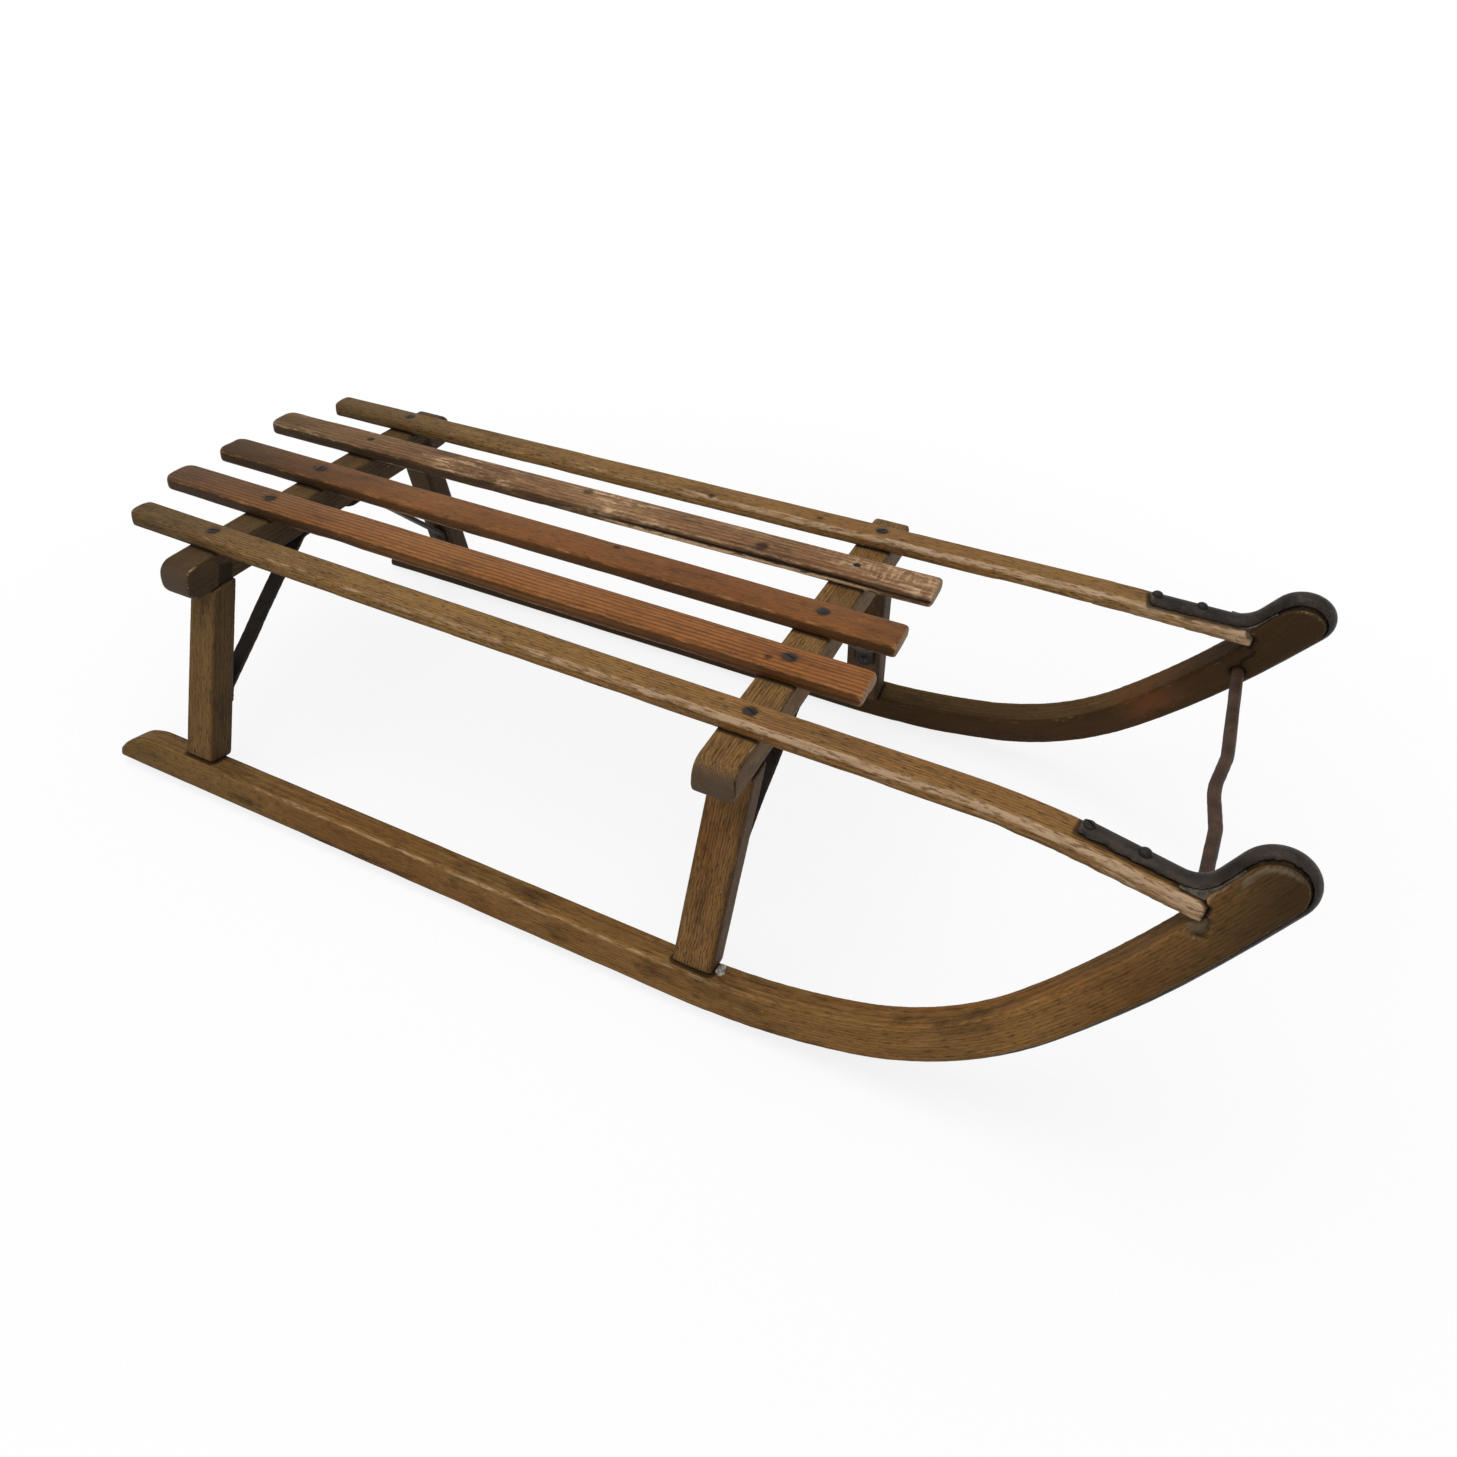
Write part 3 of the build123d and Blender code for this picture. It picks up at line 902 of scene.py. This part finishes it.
def runner_marks(name, side):
    """A runner's painted shade and darker ends, rubbed edge, bruises, stains and the soiling in the draw
    bar's hole.
    """
    outward = side * LEFT

    # Painted shade on the inner, outer and lower faces and on the far runner's top; darker towards the
    # rear end and the nose
    def shade_and_age(points, normals):
        ends = fade(points, (-0.48, 0.15), (-0.3, 0), (0.37, 0), (0.43, 0.36), (0.47, 0.68))
        inner = RUNNER_FACE_SHADE["inner"] * facing(normals, -outward)
        outer = RUNNER_FACE_SHADE["outer"] * facing(normals, outward)
        top = FAR_TOP_SHADE * facing(normals, UP) if name == "left" else 0.0
        return inner + outer + UNDER_SHADE * facing(normals, -UP) + ends + top

    def rubbed(points, normals):
        outer_top = np.clip(2.2 * side * normals[:, 1] * normals[:, 2], 0, 1) ** 2
        return 0.68 * outer_top * fade(points, (-0.4, 0.3), (-0.25, 1), (0.15, 1), (0.25, 0.3))

    def bruised(points, normals):
        """The nose's upper rim and the bed of the rail's notch."""
        local = runner_local(points, side)
        outer = np.clip(2 * side * normals[:, 1] - 0.8, 0, 1)
        offset = local[:, :2] - nose_middle()
        from_middle = np.linalg.norm(offset, axis=1)
        rim = np.interp(from_middle, *zip(*NOSE_RIM))
        upper = np.interp(offset @ np.array(NOSE_UPPER), (-0.002, 0.009), (0, 1))
        from_notch = np.linalg.norm(points - mirrored(NOTCH, side), axis=1)
        recess = (from_notch < NOTCH_REACH) & (local[:, 2] < NOTCH_BED)
        return outer * np.maximum(rim * upper, BRUISE * recess)

    def top_olive(points, normals):
        return np.clip(normals[:, 2], 0, 0.9)

    def reddened(points, normals):
        curl = fade(points, (0.1, 0), (0.25, 1), (0.38, 1), (0.43, 0.2))
        return 0.2 * facing(normals, -LEFT) * curl

    hole = spots((mirrored(BAR_HOLE, side), BAR_HOLE_DIRT))
    marks = {"shade_and_patina": shade_and_age, "wear_and_sheen": rubbed, "grey": bruised, "grime_and_shade": hole, "olive": rear_olive}
    if name == "left":
        marks["olive"] = top_olive
        marks["grime_and_shade"] = either(hole, crack(*RUNNER_CRACK, width=0.0018))
        marks["warm"] = either(spots(STAIN), reddened)
    return marks


class SLED_OT_runners(bpy.types.Operator):
    """Wear the runners' edges and mark their bent grain"""

    bl_idname = "sled.runners"
    bl_label = "Runners"

    def execute(self, context):
        material = wood(
            "bent_ash", "ash", "ash_worn", "ash_end",
            rings=0.38, lines=150.0, fibres=0.5, pores=0.45, blotches=0.7, gloss=0.06,
        )
        for name, side in SIDES.items():

            def nose_gap(points, normals):
                """Depth of the gap between the nose and its iron."""
                ahead = fade(points, (VALLEY_X - 0.01, 0), (VALLEY_X + 0.01, 1))
                beside = np.abs(runner_local(points, side)[:, 2]) > 0.0075
                return NOSE_GAP * ahead * beside * nearness(points, [f"runner_iron_{name}"])

            def rear_worn(points):
                """The rear end's top, worn down to a slope."""
                rear = cad_box[0].x + RUNNER_SETBACK
                near_end = np.clip((rear + REAR_SLOPE - points[:, 0]) / REAR_SLOPE, 0, 1)
                sunk = -REAR_SINK * near_end**1.6 * runner_local(points, side)[:, 1]
                up_lean = np.array((0, -side * math.sin(RUNNER_LEAN), math.cos(RUNNER_LEAN)))
                return sunk[:, None] * up_lean

            worn_piece(
                f"runner_{name}", material, side=side, edge_share=0.4,
                marks=runner_marks(name, side), groove=nose_gap, reshape=rear_worn,
            )
        return {"FINISHED"}


class SLED_OT_rails(bpy.types.Operator):
    """Wear the rails' near sides silvery towards the front"""

    bl_idname = "sled.rails"
    bl_label = "Rails"

    def execute(self, context):
        material = wood(
            "rail_ash", "rail", "rail_worn", "ash_end", rings=0.6, lines=140.0, pores=0.7, blotches=0.45
        )

        def rubbed(points, normals):
            bevel = np.clip((-2 * normals[:, 1] * normals[:, 2] - 0.25) / 0.5, 0, 1)
            side = facing(normals, -LEFT) * fade(points, (0.1, 0.45), (0.36, 0.6), (0.43, 0.9))
            along = fade(points, (-0.45, 0.3), (-0.1, 0.5), (0.12, 0.72), (0.43, 0.78))
            return np.maximum(bevel, side) * along

        for name in SIDES:
            node = f"rail_{name}"
            darkening = screw_dirt(node, *(RAIL_HOLES if name == "left" else ()))
            marks = {"wear_and_sheen": rubbed, "shade_and_patina": rear_age_and_under_shade, "grime_and_shade": darkening, "olive": rear_olive}
            if name == "right":
                marks["warm"] = spots(RED_TRACE)
            worn_piece(node, material, marks=marks, edge_share=0.4)
        return {"FINISHED"}


class SLED_OT_slats(bpy.types.Operator):
    """Wear the three inner slats, each of its own wood"""

    bl_idname = "sled.slats"
    bl_label = "Slats"

    def execute(self, context):
        straight = wood(
            "straight_grained_slat", "straight", "slat_worn", "slat_end",
            rings=0.9, lines=88.0, fibres=0.5, pores=0.35, rough=0.5,
        )
        smooth = wood(
            "smooth_slat", "smooth", "slat_worn", "slat_end",
            rings=0.2, fibres=0.35, pores=0.4, blotches=0.65, rough=0.5, gloss=0.08,
        )
        flaky = wood(
            "weathered_slat", "flaky", "flaky_worn", "slat_end",
            rings=0.5, fibres=0.7, pores=0.4, blotches=0.68, flakes=0.95,
        )
        low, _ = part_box("slat_left")

        def split_reach(points, normals):
            return facing(normals, -LEFT) * fade(points, (-0.12, 0), (-0.06, 1), (0.13, 1), (0.17, 0.4))

        def split(points, normals):
            """Depth of a split along the near lower edge."""
            height = points[:, 2] - (low.z + SPLIT_HEIGHT)
            return SPLIT_DEPTH * split_reach(points, normals) * np.exp(-((height / SPLIT_WIDTH) ** 2))

        def lip(points, normals):
            """The pale lip under that split."""
            height = points[:, 2] - (low.z + SPLIT_HEIGHT)
            return split_reach(points, normals) * np.clip(-height / LIP_HEIGHT, 0, 1)

        def left_olive(points, normals):
            return 0.6 * rear_olive(points, normals) ** 2

        def slat_olive(points, normals):
            return 0.4 * left_olive(points, normals)

        def front_crossed(points, normals):
            return fade(points, (-0.1, 0.15), (0.1, 1.0))

        # A slat's painted shade and darker rear; the left slat's rear end less dark, the middle slat
        # darker towards its front
        def left_slat_age_and_shade(points, normals):
            return slat_age_and_shade(points, normals) - fade(points, (-0.48, 0.14), (-0.2, 0))

        def middle_slat_age_and_shade(points, normals):
            return slat_age_and_shade(points, normals) + fade(points, (0.12, 0), (0.32, 0.55))

        # Pale line along a slat's near upper round-over: rubbed edge and painted highlight
        def rubbed(points, normals):
            return 0.5 * np.clip(-2.2 * normals[:, 1] * normals[:, 2], 0, 1)

        rows = (
            ("slat_right", straight, slat_age_and_shade, (RIGHT_BLOT,)),
            ("slat_middle", smooth, middle_slat_age_and_shade, (MIDDLE_KNOT,)),
            ("slat_left", flaky, left_slat_age_and_shade, LEFT_KNOTS),
        )
        for node, material, shade_and_age, knots in rows:
            darkening = screw_dirt(node, *knots)
            marks = {"shade_and_patina": shade_and_age, "grime_and_shade": darkening, "wear_and_sheen": rubbed, "olive": slat_olive}
            if node == "slat_left":
                marks |= {"wear_and_sheen": either(lip, rubbed), "olive": left_olive, "crossed": front_crossed}
            groove = split if node == "slat_left" else None
            worn_piece(node, material, marks=marks, groove=groove)
        return {"FINISHED"}


class SLED_OT_crossbars(bpy.types.Operator):
    """Wear the two crossbars and split the front one's near end"""

    bl_idname = "sled.crossbars"
    bl_label = "Crossbars"

    def execute(self, context):
        # Painted shade on faces that look forwards, backwards or down and on the lower part of the ends;
        # darker all over, the rear bar more
        def front_bar_tone_and_shade(points, normals):
            tips = np.interp(np.abs(points[:, 1]), (0.15, 0.2), (0, 0.35))
            faces = CROSSBAR_TONE_AND_SHADE["sides"] * np.abs(normals[:, 0]) + UNDER_SHADE * facing(normals, -UP)
            return CROSSBAR_TONE_AND_SHADE["all"] + faces + tips * np.clip(0.7 - normals[:, 2], 0, 1)

        def back_bar_tone_and_shade(points, normals):
            tips = np.interp(np.abs(points[:, 1]), (0.17, 0.2), (0, 0.2))
            return front_bar_tone_and_shade(points, normals) + CROSSBAR_TONE_AND_SHADE["rear"] + tips

        def bar_olive(points, normals):
            return np.maximum(rear_olive(points, normals), 0.55)

        for place in PLACES:
            marks = {"shade_and_patina": front_bar_tone_and_shade if place == "front" else back_bar_tone_and_shade, "olive": bar_olive}
            if place == "front":
                marks["grime_and_shade"] = crack(*CROSSBAR_SPLIT, width=0.0016, sway=0)
            worn_piece(f"crossbar_{place}", ash(), marks=marks, edge_share=0.4)
        return {"FINISHED"}


class SLED_OT_legs(bpy.types.Operator):
    """Wear the four legs"""

    bl_idname = "sled.legs"
    bl_label = "Legs"

    def execute(self, context):
        # A far leg's painted shade, and darker all over
        def far_leg_shade(points, normals):
            return leg_shade(points, normals) + FAR_LEG_DARKENING

        def pared(points):
            """A rear leg's front face, pared back towards the crossbar."""
            low, high = points.min(0), points.max(0)
            ahead, _, up = ((points - low) / (high - low)).T
            return -LEG_PARING * (ahead * up)[:, None] * np.array((1, 0, 0))

        for place in PLACES:
            for name in SIDES:
                worn_piece(
                    f"leg_{place}_{name}",
                    ash(),
                    edge_share=0.4,
                    marks={"shade_and_patina": far_leg_shade if name == "left" else leg_shade, "olive": rear_olive},
                    reshape=pared if place == "rear" else None,
                )
        return {"FINISHED"}


class SLED_OT_irons(bpy.types.Operator):
    """Forge the runner irons, braces and draw bar"""

    bl_idname = "sled.irons"
    bl_label = "Irons"

    def execute(self, context):
        tint = colours()
        finishes = {
            "runner_iron": forged(
                "runner_iron", tint.iron, tint.iron_dark, tint.iron_rubbed, metallic=0.25
            ),
            "brace": forged(
                "black_brace", tint.brace, tint.iron_dark, tint.rust,
                rough=0.6, metallic=0.3, spotted=0.3,
            ),
            "draw_bar": forged(
                "rusty_bar", tint.rust, tint.rust_dark, tint.rust_rubbed,
                rough=0.6, metallic=0.2, spotted=0.12,
            ),
        }
        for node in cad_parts:
            for start, material in finishes.items():
                if node.startswith(start):
                    worn_piece(node, material, edge_share=0.6, voxel=sizes().iron_voxel)
        return {"FINISHED"}


def skin(shape, loops):
    """Faces from each loop of points to the next."""
    for a, b in zip(loops, loops[1:]):
        for i in range(len(a)):
            j = (i + 1) % len(a)
            shape.faces.new((a[i], a[j], b[j], b[i]))


def mesh_of(shape, name):
    """Mesh of a finished shape."""
    mesh = bpy.data.meshes.new(name)
    shape.to_mesh(mesh)
    shape.free()
    return mesh


def screw_mesh(diameter, height, slot_width=0.0, segments=40, rings=7):
    """Screw head: a low dome on a short rim, with a slot across it if the slot has a width."""
    radius = diameter / 2
    rows = [(radius, -height)]
    for k in range(rings - 1):
        angle = math.pi / 2 * k / (rings - 1)
        rows.append((radius * math.cos(angle), height * math.sin(angle)))
    shape = bmesh.new()
    turns = [2 * math.pi * i / segments for i in range(segments)]
    loops = [
        [shape.verts.new((r * math.cos(turn), r * math.sin(turn), z)) for turn in turns]
        for r, z in rows
    ]
    top = shape.verts.new((0, 0, height))
    skin(shape, loops)
    rim = loops[-1]
    for a, b in zip(rim, rim[1:] + rim[:1]):
        shape.faces.new((a, b, top))
    shape.faces.new(loops[0][::-1])
    mesh = mesh_of(shape, "screw_head")
    if slot_width:
        blade = bmesh.new()
        bmesh.ops.create_cube(blade, size=1)
        bmesh.ops.scale(blade, vec=(diameter * 1.3, slot_width, height * 1.5), verts=blade.verts)
        bmesh.ops.translate(blade, vec=(0, 0, height), verts=blade.verts)
        head = linked("screw_blank", mesh)
        cutter = linked("screw_cutter", mesh_of(blade, "screw_slot"))
        cut = head.modifiers.new("Slot", "BOOLEAN")
        cut.object = cutter
        cut.operation = "DIFFERENCE"
        cut.solver = "EXACT"
        mesh = applied(head)
        bpy.data.objects.remove(cutter)
    return mesh


def middle_across(node, x):
    """Middle of a node's width at a place along the sled, from its edges that pass there."""
    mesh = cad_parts[node].data
    starts, ends = points_of(mesh)[edges_of(mesh)].transpose(1, 0, 2)
    passing = (starts[:, 0] - x) * (ends[:, 0] - x) < 0
    starts, ends = starts[passing], ends[passing]
    part = (x - starts[:, 0]) / (ends[:, 0] - starts[:, 0])
    across = starts[:, 1] + part * (ends[:, 1] - starts[:, 1])
    return (across.min() + across.max()) / 2


def face_middle(piece, keep):
    """Middle and mean normal of a piece's points that pass a test on places and normals."""
    points, normals = points_of(piece.data), points_of(piece.data, "normal")
    chosen = keep(points, normals)
    if not chosen.any():
        raise RuntimeError(f"{piece.name} has no such face for a screw")
    normal = normals[chosen].mean(0)
    return Vector(points[chosen].mean(0)), Vector(normal / np.linalg.norm(normal))


class SLED_OT_screws(bpy.types.Operator):
    """Drive the screws through slats, straps and braces"""

    bl_idname = "sled.screws"
    bl_label = "Screws"

    def execute(self, context):
        tint = colours()
        metal = forged("screw_iron", tint.screw, tint.iron_dark, tint.rust_rubbed, metallic=0.3)
        strap_slotted = screw_mesh(sizes().strap_screw, height=0.0018, slot_width=0.0012)
        strap_dome = screw_mesh(sizes().strap_screw, height=0.0032)
        brace_head = screw_mesh(sizes().brace_screw, height=0.0012, slot_width=0.0012)

        def drive(name, mesh, at, normal):
            """One screw head on a surface, turned about its axis."""
            spin = Matrix.Rotation(seeded(name).uniform(0, math.pi), 4, "Z")
            face = Vector(normal).to_track_quat("Z", "Y").to_matrix().to_4x4()
            add_piece(name, mesh, metal, Matrix.Translation(at) @ face @ spin)

        for node in SCREWED_ON:
            slotted = screw_mesh(head_size(node), height=0.0007, slot_width=0.16 * head_size(node))
            for place, at in screw_places(node).items():
                drive(f"screw_{place}_{node}", slotted, at, (0, 0, 1))
        for name, side in SIDES.items():
            strap = bpy.data.objects[f"worn_runner_iron_{name}"]
            for i, x in enumerate(STRAP_SCREW_X):

                def strap_top(points, normals):
                    near = np.abs(points[:, 0] - x) < STRAP_WINDOW
                    return near & (points[:, 2] > STRAP_ABOVE) & (normals[:, 2] > 0.9)

                mesh = strap_slotted if name == "right" and i == 0 else strap_dome
                drive(f"screw_strap_{name}_{i}", mesh, *face_middle(strap, strap_top))
            for place in PLACES:
                brace = bpy.data.objects[f"worn_brace_{place}_{name}"]
                low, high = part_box(f"brace_{place}_{name}")

                def leg_tab(points, normals):
                    return (points[:, 2] < low.z + BRACE_TAB) & (-side * normals[:, 1] > 0.8)

                def bar_tab(points, normals):
                    inner_end = min(abs(low.y), abs(high.y))
                    return (np.abs(points[:, 1]) < inner_end + BRACE_TAB) & (normals[:, 2] < -0.9)

                drive(f"screw_brace_leg_{place}_{name}", brace_head, *face_middle(brace, leg_tab))
                drive(f"screw_brace_bar_{place}_{name}", brace_head, *face_middle(brace, bar_tab))
        return {"FINISHED"}


def valley_corner():
    """Corner of the tongue's back and the rail's top on the runner's plane, with the tongue's heading."""
    rows = sole_points()
    x, up, heading = rows[-1 - TONGUE_STEPS]
    x += TONGUE * math.cos(heading) - 2 * NOSE_RADIUS * math.sin(heading)
    up += TONGUE * math.sin(heading) + 2 * NOSE_RADIUS * math.cos(heading)
    slope = math.tan(RAIL_DROP)
    above = RUNNER_LIFT + up * math.cos(RUNNER_LEAN) - SEAT_TOP + (x - RAIL_BEND) * slope
    fall = above / (math.sin(heading) * math.cos(RUNNER_LEAN) + math.cos(heading) * slope)
    return np.array((x - fall * math.cos(heading), up - fall * math.sin(heading))), heading


def filler_mesh(side, rows_across=11, arc_steps=10):
    """Filler pressed into the corner under the iron's bend, a little uneven."""
    corner, heading = valley_corner()
    tongue = np.array((math.cos(heading), math.sin(heading)))
    rail = np.array((-math.cos(RAIL_DROP), math.sin(RAIL_DROP)))
    half = math.acos(tongue @ rail) / 2
    reach = VALLEY_RADIUS / math.tan(half)
    centre = corner + (tongue + rail) / np.linalg.norm(tongue + rail) * VALLEY_RADIUS / math.sin(half)
    first, last = corner + tongue * reach - centre, corner + rail * reach - centre
    top = corner + tongue * (reach + FILLER_RUN)
    behind = np.array((-tongue[1], tongue[0]))
    outline = [corner - FILLER_TUCK * (tongue + rail), top - FILLER_BACK * behind, top]
    for k in range(arc_steps + 1):
        spoke = first + (last - first) * k / arc_steps
        outline.append(centre + spoke / np.linalg.norm(spoke) * VALLEY_RADIUS)
    shape = bmesh.new()
    loops = []
    for j in range(rows_across):
        outward = FILLER_HALF * (2 * j / (rows_across - 1) - 1)
        loop = []
        for x, up in outline:
            at = on_runner(side, x, up, outward)
            at += Vector((0, side, 0)) * FILLER_LUMP * noise.noise(at * LUMPS_PER_METRE)
            loop.append(shape.verts.new(at))
        loops.append(loop)
    skin(shape, loops)
    shape.faces.new(loops[0][::-1])
    shape.faces.new(loops[-1])
    bmesh.ops.recalc_face_normals(shape, faces=shape.faces)
    return mesh_of(shape, "filler")


def crumb_mesh():
    """Crumb of putty: a squat lump with a broken outline, sunk in at its foot."""
    shape = bmesh.new()
    bmesh.ops.create_icosphere(shape, subdivisions=4, radius=sizes().crumb / 2)
    for vert in shape.verts:
        bulge = noise.fractal(vert.co * CRUMB_LUMPS_PER_METRE, 0.9, 2.0, 4)
        vert.co *= 1 + CRUMB_BULGE * bulge
        vert.co.x *= CRUMB_SQUEEZE
        vert.co.z = max(vert.co.z, CRUMB_FOOT)
    for face in shape.faces:
        face.smooth = True
    return mesh_of(shape, "crumb")


class SLED_OT_fillings(bpy.types.Operator):
    """Press filler into the valley corners and leave a putty crumb at a leg's foot"""

    bl_idname = "sled.fillings"
    bl_label = "Fillings"

    def execute(self, context):
        tint = colours()
        grey = crumbly("grey_filler", tint.filler, tint.grime_and_shade)
        for name, side in SIDES.items():
            add_piece(f"filler_{name}", filler_mesh(side), grey)
        pale = crumbly("dried_putty", tint.crumb, tint.filler)
        add_piece("putty_crumb", crumb_mesh(), pale, Matrix.Translation(CRUMB))
        return {"FINISHED"}


def background_rays(tree):
    """1 for rays that show the background: from the camera, in gloss or through glass."""
    rays = add_node(tree, "ShaderNodeLightPath").outputs
    seen = calc(tree, "MAXIMUM", rays["Is Camera Ray"], rays["Is Glossy Ray"])
    return calc(tree, "MAXIMUM", seen, rays["Is Transmission Ray"])


def lay_floor():
    """Pale floor that keeps the sled's shadow and fades into the white background."""
    mesh = bpy.data.meshes.new("floor")
    corners = ((-1, -1), (1, -1), (1, 1), (-1, 1))
    mesh.from_pydata([(x * FLOOR_REACH, y * FLOOR_REACH, 0) for x, y in corners], [], [(0, 1, 2, 3)])
    material, tree, shader = new_material("pale_floor")
    shader.inputs["Base Color"].default_value = (*colours().floor, 1)
    shader.inputs["Roughness"].default_value = 0.9
    shader.inputs["Specular IOR Level"].default_value = 0.0
    place = add_node(tree, "ShaderNodeTexCoord").outputs["Object"]
    from_middle = add_node(tree, "ShaderNodeVectorMath", {0: place}, operation="LENGTH")
    outer = ramp(tree, from_middle.outputs["Value"], *SHADOW_FADE)
    away = plus(tree, times(tree, outer, 1 - FLOOR_VEIL), FLOOR_VEIL)
    white = add_node(tree, "ShaderNodeEmission", {"Color": (1, 1, 1, 1), "Strength": 1.0})
    seen = times(tree, away, background_rays(tree))
    both = add_node(
        tree, "ShaderNodeMixShader", {0: seen, 1: shader.outputs[0], 2: white.outputs[0]}
    )
    tree.links.new(both.outputs[0], tree.nodes["Material Output"].inputs["Surface"])
    mesh.materials.append(material)
    floor = linked("floor", mesh)


def hang_softbox(name, power, at, aim, width):
    """Square area light that looks at a point."""
    lamp = bpy.data.lights.new(name, "AREA")
    lamp.energy = power
    lamp.size = width
    light = linked(name, lamp)
    light.location = at
    light.rotation_euler = (Vector(aim) - Vector(at)).to_track_quat("-Z", "Y").to_euler()


def light_world(level):
    """Even light all round at a level, white where it is seen."""
    world = bpy.data.worlds.new("studio")
    world.use_nodes = True
    bpy.context.scene.world = world
    tree = world.node_tree
    seen = background_rays(tree)
    strength = add_node(tree, "ShaderNodeMix", {0: seen, 2: level, 3: 1.0}, data_type="FLOAT")
    background = tree.nodes["Background"]
    background.inputs["Color"].default_value = (1, 1, 1, 1)
    tree.links.new(strength.outputs[0], background.inputs["Strength"])


def aim_camera(setting):
    """Camera as the stage's settings place it."""
    camera = bpy.data.cameras.new("camera")
    camera.sensor_fit = "HORIZONTAL"
    camera.sensor_width = 36
    camera.lens = setting.lens
    camera.shift_x = setting.shift_x
    camera.shift_y = setting.shift_y
    camera.clip_start = 0.01
    level = math.cos(setting.elevation)
    across, inward = math.sin(setting.azimuth) * level, -math.cos(setting.azimuth) * level
    back = Vector((across, inward, math.sin(setting.elevation)))
    right = Vector((0, 0, 1)).cross(back).normalized()
    up = back.cross(right)
    lean, straight = math.sin(setting.roll), math.cos(setting.roll)
    axes = Matrix((right * straight + up * lean, up * straight - right * lean, back)).transposed()
    eye = linked("camera", camera)
    eye.matrix_world = Matrix.Translation(setting.camera_place) @ axes.to_4x4()
    bpy.context.scene.camera = eye


class SLED_OT_stage(bpy.types.Operator):
    """Set the floor, the soft light and the camera"""

    bl_idname = "sled.stage"
    bl_label = "Stage"

    def execute(self, context):
        setting = context.scene.sled_stage
        lay_floor()
        hang_softbox("key_softbox", setting.key_power, (-0.2, -0.4, 2.2), (0, 0, 0.1), width=2.2)
        hang_softbox("fill_softbox", setting.fill_power, (1.2, -1.9, 1.1), (0, 0, 0.15), width=1.6)
        light_world(setting.world_light)
        aim_camera(setting)
        context.scene.view_settings.view_transform = "Standard"
        return {"FINISHED"}


OPERATORS = (
    SLED_OT_stage,
    SLED_OT_runners,
    SLED_OT_rails,
    SLED_OT_slats,
    SLED_OT_crossbars,
    SLED_OT_legs,
    SLED_OT_irons,
    SLED_OT_screws,
    SLED_OT_fillings,
)


class SLED_PT_panel(bpy.types.Panel):
    """Lists the steps that dress the sled"""

    bl_idname = "SLED_PT_panel"
    bl_label = "Old Wooden Sled"
    bl_space_type = "VIEW_3D"
    bl_region_type = "UI"
    bl_category = "Sled"

    def draw(self, context):
        for operator in OPERATORS:
            self.layout.operator(operator.bl_idname)
        for key in SETTINGS:
            settings = getattr(context.scene, key)
            box = self.layout.box()
            for value in settings.bl_rna.properties.keys():
                if value not in ("rna_type", "name"):
                    box.prop(settings, value)


SETTINGS = {"sled_colours": SledColours, "sled_sizes": SledSizes, "sled_stage": SledStage}


def register():
    """Add the settings, the steps and the panel."""
    for group in (*SETTINGS.values(), *OPERATORS, SLED_PT_panel):
        bpy.utils.register_class(group)
    for key, group in SETTINGS.items():
        setattr(bpy.types.Scene, key, PointerProperty(type=group))


def unregister():
    """Take them away again."""
    for key in SETTINGS:
        delattr(bpy.types.Scene, key)
    for group in (SLED_PT_panel, *reversed(OPERATORS), *reversed(SETTINGS.values())):
        bpy.utils.unregister_class(group)


def main():
    """Dress the sled step by step."""
    register()
    for step in (
        bpy.ops.sled.stage,
        bpy.ops.sled.runners,
        bpy.ops.sled.rails,
        bpy.ops.sled.slats,
        bpy.ops.sled.crossbars,
        bpy.ops.sled.legs,
        bpy.ops.sled.irons,
        bpy.ops.sled.screws,
        bpy.ops.sled.fillings,
    ):
        step()


if __name__ == "__main__":
    main()
